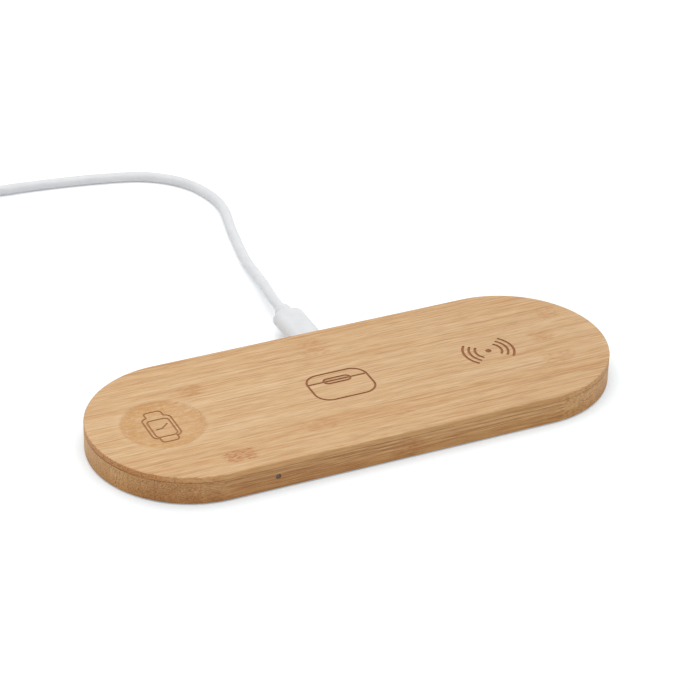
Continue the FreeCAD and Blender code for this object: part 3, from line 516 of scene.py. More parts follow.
# Knot of a bamboo stem, one strip wide: a warmer patch of short broken fibres, mottled, with ragged ends
knot, knot_in, knot_out = new_group(
    "bamboo_knot",
    {"Position": "Vector", "Centre": "Vector", "Half Length": "Float", "Half Width": "Float"},
    {"Mask": "Float"})
knot_place = axes_of(vector("SUBTRACT", knot_in["Position"], knot_in["Centre"])[0])
knot_ragged = stretched_noise(knot_in["Position"], stretch=(0.1, 1.1, 1.1), detail=3.0, roughness=0.7)
knot_along = varied(calc("ABSOLUTE", knot_place["X"]), knot_ragged, amount=9.0)
knot_length = fade(calc("DIVIDE", knot_along, knot_in["Half Length"]), 0.6, 1.3)
knot_aside = calc("SUBTRACT", calc("ABSOLUTE", knot_place["Y"]), knot_in["Half Width"])
knot_width = fade(knot_aside, -0.7, 0.1)
knot_blotch = stretched_noise(knot_in["Position"], stretch=(0.45, 0.9, 0.9), detail=2.0, roughness=0.6)
knot_fleck = stretched_noise(knot_in["Position"], stretch=(0.3, 1.9, 1.9), detail=2.0, roughness=0.6)
knot_blotch = ramp(knot_blotch, 0.4, 0.58, 0.35, 1.0)
knot_fleck = ramp(knot_fleck, 0.43, 0.57, 0.3, 1.0)
knot_shade = times(knot_blotch, knot_fleck)
knot_mask = times(times(knot_length, knot_width), knot_shade)
link(knot_mask, knot_out["Mask"])


def knotted(colour, place, knots, shade, strength):
    mask = None
    for x, y, length, width in knots:
        patch = placed(knot, Position=place, Centre=(x, y, 0), Half_Length=length, Half_Width=width)["Mask"]
        mask = patch if mask is None else calc("MAXIMUM", mask, patch)
    return mix(times(mask, strength), colour, shade)


# Glue line between the top board and the frame: a thin dark line that comes and goes
glue, glue_in, glue_out = new_group(
    "glue_line", {"Position": "Vector", "Facing": "Vector"}, {"Mask": "Float"})
glue_brown = tone(112, 70, 40)
glue_away = calc("SUBTRACT", axes_of(glue_in["Position"])["Z"], board_low.z * mm)
glue_away = calc("ABSOLUTE", glue_away)
glue_ends = calc("ABSOLUTE", axes_of(glue_in["Facing"])["X"])
glue_ends = ramp(glue_ends, 0.1, 0.7, 0.3, 1.0)
glue_breaks = stretched_noise(glue_in["Position"], stretch=(0.1, 0.1, 0.1), detail=2.0)
glue_breaks = ramp(glue_breaks, 0.35, 0.6, 0.4, 0.75)
glue_mask = times(fade(glue_away, 0.08, 0.3), times(glue_breaks, glue_ends))
link(glue_mask, glue_out["Mask"])

# Distance to a burnt box with round corners
box, box_in, box_out = new_group(
    "burnt_box", {"Position": "Vector", "Half Size": "Vector", "Corner": "Float"}, {"Distance": "Float"})
box_reach = vector("ABSOLUTE", box_in["Position"])[0]
box_reach = vector("SUBTRACT", box_reach, box_in["Half Size"])[0]
box_reach = vector("ADD", box_reach, joined(box_in["Corner"], box_in["Corner"]))[0]
box_outside = vector("MAXIMUM", box_reach, (0, 0, 0))[0]
box_outside = vector("LENGTH", box_outside)["Value"]
box_axes = axes_of(box_reach)
box_inside = calc("MINIMUM", calc("MAXIMUM", box_axes["X"], box_axes["Y"]), 0.0)
box_edge = calc("SUBTRACT", calc("ADD", box_outside, box_inside), box_in["Corner"])
link(box_edge, box_out["Distance"])

# Distance to a burnt straight stroke
stroke, stroke_in, stroke_out = new_group(
    "burnt_stroke", {"Position": "Vector", "Start": "Vector", "Run": "Vector"}, {"Distance": "Float"})
stroke_from = vector("SUBTRACT", stroke_in["Position"], stroke_in["Start"])[0]
stroke_share = calc("DIVIDE", vector("DOT_PRODUCT", stroke_from, stroke_in["Run"])["Value"],
                    vector("DOT_PRODUCT", stroke_in["Run"], stroke_in["Run"])["Value"])
stroke_share = calc("MINIMUM", calc("MAXIMUM", stroke_share, 0.0), 1.0)
stroke_near = {0: stroke_in["Run"], "Scale": stroke_share}
stroke_near = add("ShaderNodeVectorMath", stroke_near, operation="SCALE").outputs[0]
link(vector("DISTANCE", stroke_from, stroke_near)["Value"], stroke_out["Distance"])

# Distance to a burnt pair of waves, one on each side of the dot
waves, waves_in, waves_out = new_group(
    "burnt_wave", {"Position": "Vector", "Radius": "Float", "Half Angle": "Float"}, {"Distance": "Float"})
waves_axes = axes_of(waves_in["Position"])
waves_side = calc("ABSOLUTE", waves_axes["X"])
waves_turn = calc("ARCTAN2", waves_axes["Y"], waves_side)
waves_turn = calc("MAXIMUM", waves_turn, times(waves_in["Half Angle"], -1.0))
waves_turn = calc("MINIMUM", waves_turn, waves_in["Half Angle"])
waves_near = joined(times(calc("COSINE", waves_turn), waves_in["Radius"]),
                    times(calc("SINE", waves_turn), waves_in["Radius"]))
waves_here = joined(waves_side, waves_axes["Y"])
link(vector("DISTANCE", waves_here, waves_near)["Value"], waves_out["Distance"])

# The board's wood: warm knots, a tan milled dish and warmer sides, with painted shade at the phone end and in
# the dish's cove, and painted light on the dish's right side, on its lip and on the phone end's sawn face
white = (1, 1, 1, 1)
board_wood, shader, place, normal = new_material("burnt_bamboo")
sheet = placed(bamboo, Position=place, Facing=normal, Strip_Width=7.5, Strip_Start=-2.3, Seed=3.0,
               Fineness=1.0, Lines=0.55, Light=tone(227, 193, 151), Middle=tone(217, 178, 132),
               Dark=tone(202, 153, 102))
front_knot = [(-56, -28.6, 5.6, 3.7)]
back_knot = [(-56, 16.4, 4.4, 3.7)]
faint_knots = [(-4, 24.5, 5.2, 3.7), (-4, 30.5, 4.2, 3.0), (-22, -21.1, 7.0, 3.7), (87.8, 16.4, 3.9, 3.7),
               (78, 1.5, 4.5, 3.7), (76.5, -13.6, 5.5, 3.7), (7.8, -25.3, 3.9, 1.6)]
wood = knotted(sheet["Color"], place, front_knot, shade=tone(176, 108, 55), strength=1.0)
wood = knotted(wood, place, back_knot, shade=tone(184, 122, 68), strength=0.6)
wood = knotted(wood, place, faint_knots, shade=tone(186, 126, 72), strength=0.55)
axes = axes_of(place)
# Painted shade: the board darkens towards the phone end
painted_light_along = mix(ramp(axes["X"], -90.0, 90.0), white, tone(248, 248, 249))
wood = mix(1.0, wood, painted_light_along, "MULTIPLY")
flat_place = joined(axes["X"], axes["Y"])
from_watch = vector("SUBTRACT", flat_place, (watch_x * mm, 0, 0))[0]
milled = stretched_noise(place, stretch=(0.5, 1.1, 1.1), detail=4.0, roughness=0.68)
dish_away = vector("LENGTH", from_watch)["Value"]
dish_reach = varied(dish_away, milled, amount=2.2)
in_dish = fade(dish_reach, 14.2, 15.5)
# The dish's tan is the milled wood's own tone, with painted shade that deepens it towards the cove and
# painted light that pales it on the dish's right side
milled_tan_and_painted_shade = ramp(dish_reach, 3.0, 12.0, 0.35, 1.0)
milled_tan_and_painted_shade = times(milled_tan_and_painted_shade, ramp(milled, 0.38, 0.6, 0.2, 1.0))
dish_painted_light = ramp(axes_of(from_watch)["X"], 2.0, 12.0, 0.95, 0.6)
milled_tan_and_painted_shade = times(milled_tan_and_painted_shade, dish_painted_light)
wood = mix(times(in_dish, milled_tan_and_painted_shade), wood, tone(200, 150, 92))
# Painted highlight: a pale ring on the dish's rounded lip
lip_painted_highlight = times(ramp(dish_reach, 15.2, 16.0, 0.0, 0.16), fade(dish_away, 16.4, 18.4))
wood = mix(lip_painted_highlight, wood, tone(228, 196, 156))
turned = axes_of(normal)
side_cut = fade(calc("ABSOLUTE", turned["Z"]), 0.2, 0.9)
end_face = ramp(calc("ABSOLUTE", turned["X"]), 0.25, 0.85)
# Sawn ends take their own tint, with painted light that makes the phone end paler than the watch end
end_grain_and_painted_light = mix(ramp(axes["X"], -60.0, 60.0), tone(245, 214, 175), tone(249, 229, 191))
side_tint = mix(end_face, tone(252, 238, 214), end_grain_and_painted_light)
wood = mix(side_cut, wood, side_tint, "MULTIPLY")
wood = mix(placed(glue, Position=place, Facing=normal)["Mask"], wood, glue_brown)


# The marks' char: darkest in the middle of a wide line, paler in the dish, and a light tan inside the latch
def outline_distance(flat_place, x, y, width, height, corner):
    from_centre = vector("SUBTRACT", flat_place, (x * mm, y * mm, 0))[0]
    half_size = (width * mm / 2, height * mm / 2, 0)
    return placed(box, Position=from_centre, Half_Size=half_size, Corner=corner * mm)["Distance"]


watch_case, watch_strap, watch_screen, earbuds_case, earbuds_latch = [
    outline_distance(flat_place, *mark_box)
    for mark_box in (case_box, strap_box, screen_box, earbuds_box, latch_box)]
from_phone = vector("SUBTRACT", flat_place, (phone_x * mm, 0, 0))[0]
burnt_lines = [
    (calc("ABSOLUTE", calc("MINIMUM", watch_case, watch_strap)), watch_line_width),
    (calc("ABSOLUTE", watch_screen), watch_line_width),
    (calc("ABSOLUTE", earbuds_case), earbuds_line_width),
    (calc("ABSOLUTE", earbuds_latch), earbuds_line_width),
    (vector("LENGTH", from_phone)["Value"], 2 * dot_radius),
]
strokes = [(start, end, watch_line_width) for start, end in zip(hand_places, hand_places[1:])]
for ends, _ in lid_lines:
    left, right = [(earbuds_x + end / 2, lid_y) for end in sorted(ends)]
    strokes.append((left, right, earbuds_line_width))
for start, end, line_width in strokes:
    run = (mm * (end[0] - start[0]), mm * (end[1] - start[1]), 0)
    from_start = (mm * start[0], mm * start[1], 0)
    straight = placed(stroke, Position=flat_place, Start=from_start, Run=run)
    burnt_lines.append((straight["Distance"], line_width))
for radius in wave_radii:
    pair = placed(waves, Position=from_phone, Radius=radius * mm, Half_Angle=math.radians(wave_angle))
    burnt_lines.append((pair["Distance"], wave_line_width))
nearest = None
for distance, line_width in burnt_lines:
    beside = calc("SUBTRACT", distance, line_width * mm / 2)
    nearest = beside if nearest is None else calc("MINIMUM", nearest, beside)
below_dish = 0.6
burn_share, burn_less_in_dish = 0.92, -0.34
scorch = fade(nearest, -0.06, 0.2)
upward = calc("GREATER_THAN", axes["Z"], dish_floor * mm - below_dish)
scorch = times(scorch, upward)
char = mix(ramp(milled, 0.3, 0.7), tone(142, 88, 54), tone(160, 104, 66))
char = mix(fade(nearest, -0.9, -0.3), char, tone(128, 78, 50))
tanned = times(ramp(earbuds_latch, -0.1, 0.4, 0.3, 0.0), upward)
wood = mix(tanned, wood, char)
burn = times(scorch, calc("MULTIPLY_ADD", in_dish, burn_less_in_dish, burn_share))
wood = mix(burn, wood, char)
char_rough = mix(scorch, sheet["Roughness"], (0.8, 0.8, 0.8, 1))
surface(shader, wood, char_rough, sheet["Height"], bump=0.25, depth=0.00008)
wood_specular = 0.35
shader.inputs["Specular IOR Level"].default_value = wood_specular
finish_piece(top_board, board_wood, "charger", "bamboo", "top_board")


# Frame: bamboo strips glued up and milled out to a ring. It has a rebate below for the cover, a bay and a
# port for the socket at the back and a small hole for the status light in front. The top board is glued
# onto it.
frame_low, frame_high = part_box("bamboo_frame")
socket_low, socket_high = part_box("socket_shell")
pipe_low, pipe_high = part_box("light_pipe")
ceiling = frame_high.z
pad_floor = frame_low.z
pocket_length, pocket_width = 0.183, 0.058
rebate_length, rebate_width, rebate_depth = 0.194, 0.069, 0.0016
bay_half_width, bay_back, bay_clear = 0.0104, 0.0355, 0.0003
port_start, port_end, port_clear = 0.0345, 0.0385, 0.00015
plug_height = (socket_low.z + socket_high.z) / 2
light_x = (pipe_low.x + pipe_high.x) / 2
light_z = (pipe_low.z + pipe_high.z) / 2
light_hole, light_start, light_end = 0.001, -0.0385, -0.02
light_steps = 10
side_steps = 14
sink_radius, sink_depth, sink_over = 0.00185, 0.001, 0.0002
pilot_radius, pilot_depth = 0.001, 0.00565
pilot_steps = 24
screw_x, screw_y, end_screw_x = 0.034375, 0.03175, 0.09425
cover_screws = [(sx * screw_x, sy * screw_y) for sx in (-1, 1) for sy in (-1, 1)]
cover_screws += [(-end_screw_x, 0), (end_screw_x, 0)]


def side_ring(half_width, half_height, corner, x, y, z, steps=side_steps):
    ring = []
    for sx, sz, start in corner_turns:
        for step in range(steps):
            angle = math.radians(start + 90 * (step + 0.5) / steps)
            ring.append((x + sx * (half_width - corner) + corner * math.cos(angle), y,
                         z + sz * (half_height - corner) + corner * math.sin(angle)))
    return ring


def side_circle(radius, x, y, z, steps=side_steps):
    return side_ring(radius, radius, radius, x, y, z, steps)


upside_down = round_over(pad_floor, ceiling)
frame_rings = [[(x, y, pad_floor + ceiling - z) for x, y, z in ring] for ring in reversed(upside_down)]
bamboo_frame = skin_of_rings("bamboo_ring", frame_rings)
low = pad_floor - cutter_over
high = ceiling + cutter_over
bay_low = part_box("main_board")[0].z - bay_clear
bay = [(-bay_half_width, 0), (bay_half_width, 0), (bay_half_width, bay_back), (-bay_half_width, bay_back)]
port_width = (socket_high.x - socket_low.x) / 2 + port_clear
port_height = (socket_high.z - socket_low.z) / 2 + port_clear
holes = [
    [pad_ring(pocket_length, pocket_width, z) for z in (low, high)],
    [pad_ring(rebate_length, rebate_width, z) for z in (low, pad_floor + rebate_depth)],
    [[(x, y, z) for x, y in bay] for z in (bay_low, high)],
    [side_ring(port_width, port_height, port_height, 0, y, plug_height) for y in (port_start, port_end)],
    [side_circle(light_hole, light_x, y, light_z, light_steps) for y in (light_start, light_end)],
]
screw_hole = [(sink_radius, pad_floor - sink_over), (sink_radius, pad_floor),
              (pilot_radius, pad_floor + sink_depth), (pilot_radius, pad_floor + pilot_depth)]
for x, y in cover_screws:
    holes.append([round_ring(x, y, radius, z, pilot_steps) for radius, z in screw_hole])
carve(bamboo_frame, [skin_of_rings("cutter", rings) for rings in holes])
soften(bamboo_frame, hard_edge)
frame_wood, shader, place, normal = new_material("frame_bamboo")
ring_wood = placed(bamboo, Position=place, Facing=normal, Strip_Width=7.75, Strip_Start=-4.9, Seed=41.0,
                   Fineness=2.0, Lines=0.9, Light=tone(245, 208, 154), Middle=tone(220, 173, 114),
                   Dark=tone(176, 120, 64))
frame_knots = [(4, -37.5, 6, 3), (-93, -8, 5, 3.8), (97, 6, 5, 3.8), (-52, 37.5, 5, 3), (60, 37.5, 5, 3)]
wood = knotted(ring_wood["Color"], place, frame_knots, shade=tone(184, 120, 64), strength=0.5)
axes = axes_of(place)
# Painted shade darkens the frame's walls towards the watch end, and painted light keeps the curved wall at
# that end bright
painted_light_along = mix(ramp(axes["X"], -75.0, 75.0), tone(231, 221, 217), tone(248, 247, 250))
painted_light_along = mix(fade(axes["X"], -100.0, -84.0), painted_light_along, white)
wood = mix(1.0, wood, painted_light_along, "MULTIPLY")
# Painted shade: the walls darken over their lowest millimetres, by the floor
base_shade_height = 7.0
painted_base_shade = fade(axes["Z"], pad_floor * mm, pad_floor * mm + base_shade_height)
wood = mix(painted_base_shade, wood, tone(241, 229, 207), "MULTIPLY")
wood = mix(placed(glue, Position=place, Facing=normal)["Mask"], wood, glue_brown)
surface(shader, wood, ring_wood["Roughness"], ring_wood["Height"], bump=0.3, depth=0.0001)
shader.inputs["Specular IOR Level"].default_value = wood_specular
finish_piece(bamboo_frame, frame_wood, "charger", "bamboo", "bamboo_frame")


# Charging coils: enamelled copper wire wound flat by a machine, glued on a pressed ferrite disc that sits in
# a moulded carrier. The wire's ends go down to pads on the circuit board. The watch spot also has a round
# magnet.
moulded_skin, skin_in, skin_out = new_group(
    "moulded_skin",
    {"Position": "Vector", "Dark": "Color", "Light": "Color", "Pebble": "Float", "Dullness": "Float"},
    {"Color": "Color", "Roughness": "Float", "Height": "Float"})
pebble = {"Vector": skin_in["Position"], "Scale": skin_in["Pebble"], "Detail": 2.0, "Roughness": 0.6}
pebble = add("ShaderNodeTexNoise", pebble).outputs[0]
cloud = {"Vector": skin_in["Position"], "Scale": 0.22, "Detail": 3.0}
cloud = add("ShaderNodeTexNoise", cloud).outputs[0]
skin_colour = mix(ramp(cloud, 0.3, 0.7), skin_in["Dark"], skin_in["Light"])
skin_rough = varied(skin_in["Dullness"], cloud, amount=0.16)
link(skin_colour, skin_out["Color"])
link(skin_rough, skin_out["Roughness"])
link(pebble, skin_out["Height"])


def moulded(name, dark, light, dullness, pebble, bump, metal=0.0):
    material, shader, place, _ = new_material(name)
    skin = placed(moulded_skin, Position=place, Dark=tone(*dark), Light=tone(*light), Pebble=pebble,
                  Dullness=dullness)
    surface(shader, skin["Color"], skin["Roughness"], skin["Height"], bump, depth=0.00005)
    shader.inputs["Metallic"].default_value = metal
    return material


def dress(name, material):
    nodes[name].material_slots[0].material = material


def shape_tree(name, start, sizes, end):
    tree = bpy.data.node_groups.new(name, "GeometryNodeTree")
    kinds = {start: "Geometry", **dict.fromkeys(sizes, "Float"), "Finish": "Material"}
    labels = {}
    for label, kind in kinds.items():
        socket = tree.interface.new_socket(label, in_out="INPUT", socket_type="NodeSocket" + kind)
        labels[label] = socket.identifier
    tree.interface.new_socket(end, in_out="OUTPUT", socket_type="NodeSocketGeometry")
    return tree, labels, tree.nodes.new("NodeGroupInput").outputs


def end_tree(shape, finish):
    real = add("GeometryNodeRealizeInstances", {0: shape}).outputs[0]
    dressed = add("GeometryNodeSetMaterial", {0: real, "Material": finish}).outputs[0]
    add("NodeGroupOutput", {0: dressed})


def grow(made, tree, labels, values):
    grower = made.modifiers.new(tree.name, "NODES")
    grower.node_group = tree
    for label, value in values.items():
        grower[labels[label]] = value


def smooth_line(name, points, fineness):
    line = bpy.data.curves.new(name, "CURVE")
    line.dimensions = "3D"
    line.resolution_u = fineness
    spline = line.splines.new("NURBS")
    spline.points.add(len(points) - 1)
    for point, place in zip(spline.points, points):
        point.co = (*place, 1)
    spline.order_u = 3
    spline.use_endpoint_u = True
    return line


wound_wire, wire_labels, wire_in = shape_tree("wound_wire", "Path", ["Wire Diameter"], "Wire")
wire_radius = times(wire_in["Wire Diameter"], 0.5)
wire_round = add("GeometryNodeCurvePrimitiveCircle", {"Resolution": 10, "Radius": wire_radius})
drawn = {"Curve": wire_in["Path"], "Profile Curve": wire_round.outputs[0], "Fill Caps": True}
drawn = add("GeometryNodeCurveToMesh", drawn).outputs[0]
drawn = add("GeometryNodeSetShadeSmooth", {0: drawn}).outputs[0]
end_tree(drawn, wire_in["Finish"])

copper, shader, place, _ = new_material("enamelled_copper")
drawn_lines = stretched_noise(place, stretch=(1.4, 1.4, 6.0), detail=3.0)
copper_tone = mix(ramp(drawn_lines, 0.3, 0.7), tone(176, 98, 58), tone(205, 128, 82))
link(copper_tone, shader.inputs["Base Color"])
link(ramp(drawn_lines, 0.3, 0.7, 0.22, 0.34), shader.inputs["Roughness"])
shader.inputs["Metallic"].default_value = 0.9
shader.inputs["Coat Weight"].default_value = 0.5
wire = 0.0007
wire_below, crossing_above = 0.00165, 0.00115
wire_z = ceiling - wire_below
crossing_z = wire_z + crossing_above
board_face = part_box("main_board")[1].z
turn_pitch = 0.00112
wire_corner = 0.0014
crossing_end, crossing_foot = 0.0022, 0.0006
wire_marks = 24
ferrite_rim = 0.00131
watch_inner, watch_turns = 0.0044, 4.5
earbuds_inner, earbuds_turns = 0.006, 5.5
phone_turns = 9.5
ferrite_low, ferrite_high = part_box("phone_ferrite")
phone_inner = (ferrite_high.x - ferrite_low.x) / 2 - ferrite_rim - wire / 2 - phone_turns * turn_pitch
windings = [("watch", watch_x, watch_inner, watch_turns),
            ("earbuds", earbuds_x, earbuds_inner, earbuds_turns),
            ("phone", phone_x, phone_inner, phone_turns)]
for spot, centre_x, inner, turns in windings:
    coil_low, coil_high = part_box(spot + "_coil")
    toward = 1 if coil_high.x - centre_x > centre_x - coil_low.x else -1
    pad_x = max(coil_high.x - centre_x, centre_x - coil_low.x) - wire / 2
    outer = inner + turns * turn_pitch
    path = [(pad_x, inner, board_face), (pad_x, inner, crossing_z - wire_corner), (pad_x, inner, crossing_z),
            (pad_x - wire_corner, inner, crossing_z), (crossing_end, inner, crossing_z),
            (crossing_foot, inner, wire_z)]
    steps = round(wire_marks * turns)
    for step in range(steps + 1):
        angle = math.radians(90 + 360 * step / wire_marks)
        bulge = math.cos(math.pi / wire_marks) if 0 < step < steps else 1
        radius = (inner + turn_pitch * step / wire_marks) / bulge
        path.append((radius * math.cos(angle), radius * math.sin(angle), wire_z))
    path += [(pad_x - wire_corner, -outer, wire_z), (pad_x, -outer, wire_z),
             (pad_x, -outer, wire_z - wire_corner), (pad_x, -outer, board_face)]
    path = [(centre_x + toward * x, toward * y, z) for x, y, z in path]
    holder = new_object(spot + "_path", smooth_line(spot + "_winding", path, fineness=3))
    grow(holder, wound_wire, wire_labels, {"Wire Diameter": wire, "Finish": copper})
    winding = new_object(spot + "_winding", mesh_now(holder))
    bpy.data.objects.remove(holder)
    finish_piece(winding, copper, "charger", "copper_wire", spot + "_coil")
pressed_ferrite = moulded("pressed_ferrite", (42, 42, 45), (66, 66, 69), dullness=0.62, pebble=3.0, bump=0.6)
carrier_plastic = moulded("carrier_plastic", (196, 194, 188), (212, 210, 204), dullness=0.5, pebble=8.0,
                          bump=0.2)
magnet_plating = moulded("magnet_plating", (168, 166, 160), (190, 188, 184), dullness=0.28, pebble=5.0,
                         bump=0.1, metal=1.0)
for spot in ("watch", "earbuds", "phone"):
    dress(spot + "_ferrite", pressed_ferrite)
    dress(spot + "_coil_carrier", carrier_plastic)
dress("watch_magnet", magnet_plating)


# Circuit board: glass-fibre laminate with a green mask over its copper tracks, held by three pan-head screws
# on bosses of the cover. Chips, transistors, inductors and capacitors are soldered on its upper face.
laminate, shader, place, _ = new_material("masked_laminate")
tracks_per_cell = 3.0
track_share = 0.6
cells = add("ShaderNodeTexVoronoi", {"Vector": place, "Scale": 0.42}, distance="CHEBYCHEV", feature="F1")
tracks = calc("FRACT", times(cells.outputs["Distance"], tracks_per_cell))
tracks = ramp(tracks, 0.42, 0.5)
mask_cloud = stretched_noise(place, stretch=(0.3, 0.3, 0.3), detail=3.0)
green = mix(ramp(mask_cloud, 0.3, 0.7), tone(20, 74, 48), tone(28, 88, 56))
green = mix(times(tracks, track_share), green, tone(58, 128, 84))
mask_rough = ramp(mask_cloud, 0.3, 0.7, 0.3, 0.42)
surface(shader, green, mask_rough, tracks, bump=0.3, depth=0.00004)
dress("main_board", laminate)
chip_epoxy = moulded("chip_epoxy", (34, 34, 36), (46, 46, 48), dullness=0.55, pebble=7.0, bump=0.35)
inductor_powder = moulded("inductor_powder", (70, 70, 74), (92, 92, 95), dullness=0.6, pebble=4.5, bump=0.5)
capacitor_ceramic = moulded("capacitor_ceramic", (168, 134, 92), (186, 152, 108), dullness=0.4, pebble=6.0,
                            bump=0.15)
dress("driver_chips", chip_epoxy)
dress("bridge_transistors", chip_epoxy)
dress("power_inductors", inductor_powder)
dress("tuning_capacitors", capacitor_ceramic)

# Screws of the circuit board and the cover: head and shank in one, with a cross recess pressed into the head
pressed_screws, screw_labels, screw_in = shape_tree(
    "pressed_screws", "Places",
    ["Head Lower Radius", "Head Upper Radius", "Head Height", "Head Start", "Shank Radius", "Shank Length",
     "Shank Start", "Recess Length", "Recess Width", "Recess Depth", "Recess Start"], "Screws")
round_steps = 40


def lifted(shape, height):
    raised = joined(0.0, 0.0, height)
    return add("GeometryNodeTransform", {"Geometry": shape, "Translation": raised}).outputs[0]


def middle_of(start, length):
    return calc("MULTIPLY_ADD", length, 0.5, start)


head = {"Vertices": round_steps, "Radius Top": screw_in["Head Upper Radius"],
        "Radius Bottom": screw_in["Head Lower Radius"], "Depth": screw_in["Head Height"]}
head = lifted(add("GeometryNodeMeshCone", head).outputs["Mesh"], screw_in["Head Start"])
shank = {"Vertices": round_steps, "Radius": screw_in["Shank Radius"], "Depth": screw_in["Shank Length"]}
shank = add("GeometryNodeMeshCylinder", shank).outputs["Mesh"]
shank = lifted(shank, middle_of(screw_in["Shank Start"], screw_in["Shank Length"]))
body = add("GeometryNodeMeshBoolean", {"Mesh 2": head}, operation="UNION", solver="EXACT")
link(shank, body.inputs["Mesh 2"])
body = body.outputs["Mesh"]
slotted = add("GeometryNodeMeshBoolean", {"Mesh 1": body}, operation="DIFFERENCE", solver="EXACT")
for across, along in (("Recess Length", "Recess Width"), ("Recess Width", "Recess Length")):
    size = joined(screw_in[across], screw_in[along], screw_in["Recess Depth"])
    recess = add("GeometryNodeMeshCube", {"Size": size}).outputs["Mesh"]
    recess = lifted(recess, middle_of(screw_in["Recess Start"], screw_in["Recess Depth"]))
    link(recess, slotted.inputs["Mesh 2"])
rows = {"Points": screw_in["Places"], "Instance": slotted.outputs["Mesh"]}
rows = add("GeometryNodeInstanceOnPoints", rows).outputs[0]
end_tree(rows, screw_in["Finish"])

brushed, brushed_in, brushed_out = new_group(
    "brushed_metal",
    {"Position": "Vector", "Dark": "Color", "Light": "Color", "Stretch": "Vector"},
    {"Color": "Color", "Roughness": "Float", "Height": "Float"})
brush_lines = stretched_noise(brushed_in["Position"], brushed_in["Stretch"], detail=4.0, roughness=0.65)
metal_colour = mix(ramp(brush_lines, 0.3, 0.7), brushed_in["Dark"], brushed_in["Light"])
link(metal_colour, brushed_out["Color"])
link(ramp(brush_lines, 0.3, 0.7, 0.2, 0.38), brushed_out["Roughness"])
link(brush_lines, brushed_out["Height"])


def bright_metal(name, dark, light, stretch):
    material, shader, place, _ = new_material(name)
    skin = placed(brushed, Position=place, Dark=tone(*dark), Light=tone(*light), Stretch=stretch)
    surface(shader, skin["Color"], skin["Roughness"], skin["Height"], bump=0.12, depth=0.00002)
    shader.inputs["Metallic"].default_value = 1.0
    return material


screw_steel = bright_metal("screw_steel", (150, 150, 152), (190, 190, 190), stretch=(4, 4, 9))
shank_sizes = {"Shank Radius": 0.00095, "Recess Length": 0.002, "Recess Width": 0.00045,
               "Recess Depth": 0.0009}


def set_screws(name, places, slot_node, sizes):
    mesh = bpy.data.meshes.new(name)
    mesh.from_pydata([(x, y, 0) for x, y in places], [], [])
    made = new_object(name, mesh)
    grow(made, pressed_screws, screw_labels, {**shank_sizes, **sizes, "Finish": screw_steel})
    settle(made)
    soften(made, hard_edge)
    finish_piece(made, screw_steel, "charger", "screw_steel", slot_node)


screw_low, screw_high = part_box("board_screws")
head_radius, head_top_radius, head_height = 0.0017, 0.0015, 0.0011
shank_in_head, recess_floor = 0.0002, 0.0005
screw_left = screw_low.x + head_radius
screw_right = screw_high.x - head_radius
screw_reach = screw_high.y - head_radius
board_places = [(screw_left, screw_reach), (screw_left, -screw_reach), (screw_right, screw_reach)]
set_screws("board_screw_set", board_places, "board_screws", {
    "Head Lower Radius": head_radius, "Head Upper Radius": head_top_radius, "Head Height": head_height,
    "Head Start": board_face, "Shank Length": board_face + shank_in_head - screw_low.z,
    "Shank Start": screw_low.z, "Recess Start": board_face + recess_floor})


# Status light: a side-facing light on the board's front edge and a smoked light pipe, a turned rod with a
# flange, pushed into the hole of the front wall from inside so that its end stands a little back.
light_lens = moulded("light_lens", (226, 222, 200), (240, 237, 220), dullness=0.3, pebble=8.0, bump=0.1)
dress("status_led", light_lens)
smoked_pipe = moulded("smoked_pipe", (78, 70, 70), (108, 98, 98), dullness=0.3, pebble=8.0, bump=0.1)
pipe_radius, flange_radius, flange_y = 0.00095, 0.0016, -0.029
dome_inset, dome_depth, dome_steps = 0.00035, 0.00025, 5
pipe_profile = []
for angle in bend(dome_steps):
    radius = pipe_radius - dome_inset * (1 - math.sin(angle))
    pipe_profile.append((radius, pipe_low.y + dome_depth * (1 - math.cos(angle))))
pipe_profile += [(pipe_radius, flange_y), (flange_radius, flange_y), (flange_radius, pipe_high.y)]
pipe_rings = [side_circle(radius, light_x, y, light_z, light_steps) for radius, y in pipe_profile]
light_pipe = skin_of_rings("light_pipe_rod", pipe_rings)
soften(light_pipe, degrees=35)
finish_piece(light_pipe, smoked_pipe, "charger", "clear_pipe", "light_pipe")


# Socket: a drawn steel shell soldered to the board's tongue, with a black plastic tongue inside that carries
# two rows of gold-plated contacts.
same_point = 0.000002


def smooth_copy(name, node, material, body, slot):
    mesh = nodes[node].data.copy()
    mesh.name = name
    shape = bmesh.new()
    shape.from_mesh(mesh)
    bmesh.ops.remove_doubles(shape, verts=shape.verts, dist=same_point)
    shape.to_mesh(mesh)
    shape.free()
    return finish_piece(soften(new_object(name, mesh), hard_edge), material, body, slot, node)


connector_steel = bright_metal("connector_steel", (158, 158, 160), (184, 184, 185), stretch=(9, 0.6, 9))
contact_gold = bright_metal("contact_gold", (198, 156, 82), (222, 184, 108), stretch=(9, 0.8, 9))
contact_plastic = moulded("contact_plastic", (26, 26, 28), (38, 38, 40), dullness=0.45, pebble=8.0, bump=0.2)
smooth_copy("socket_sleeve", "socket_shell", connector_steel, "charger", "connector_steel")
smooth_copy("socket_blade", "socket_tongue", contact_plastic, "charger", "contact_plastic")
dress("socket_contacts", contact_gold)


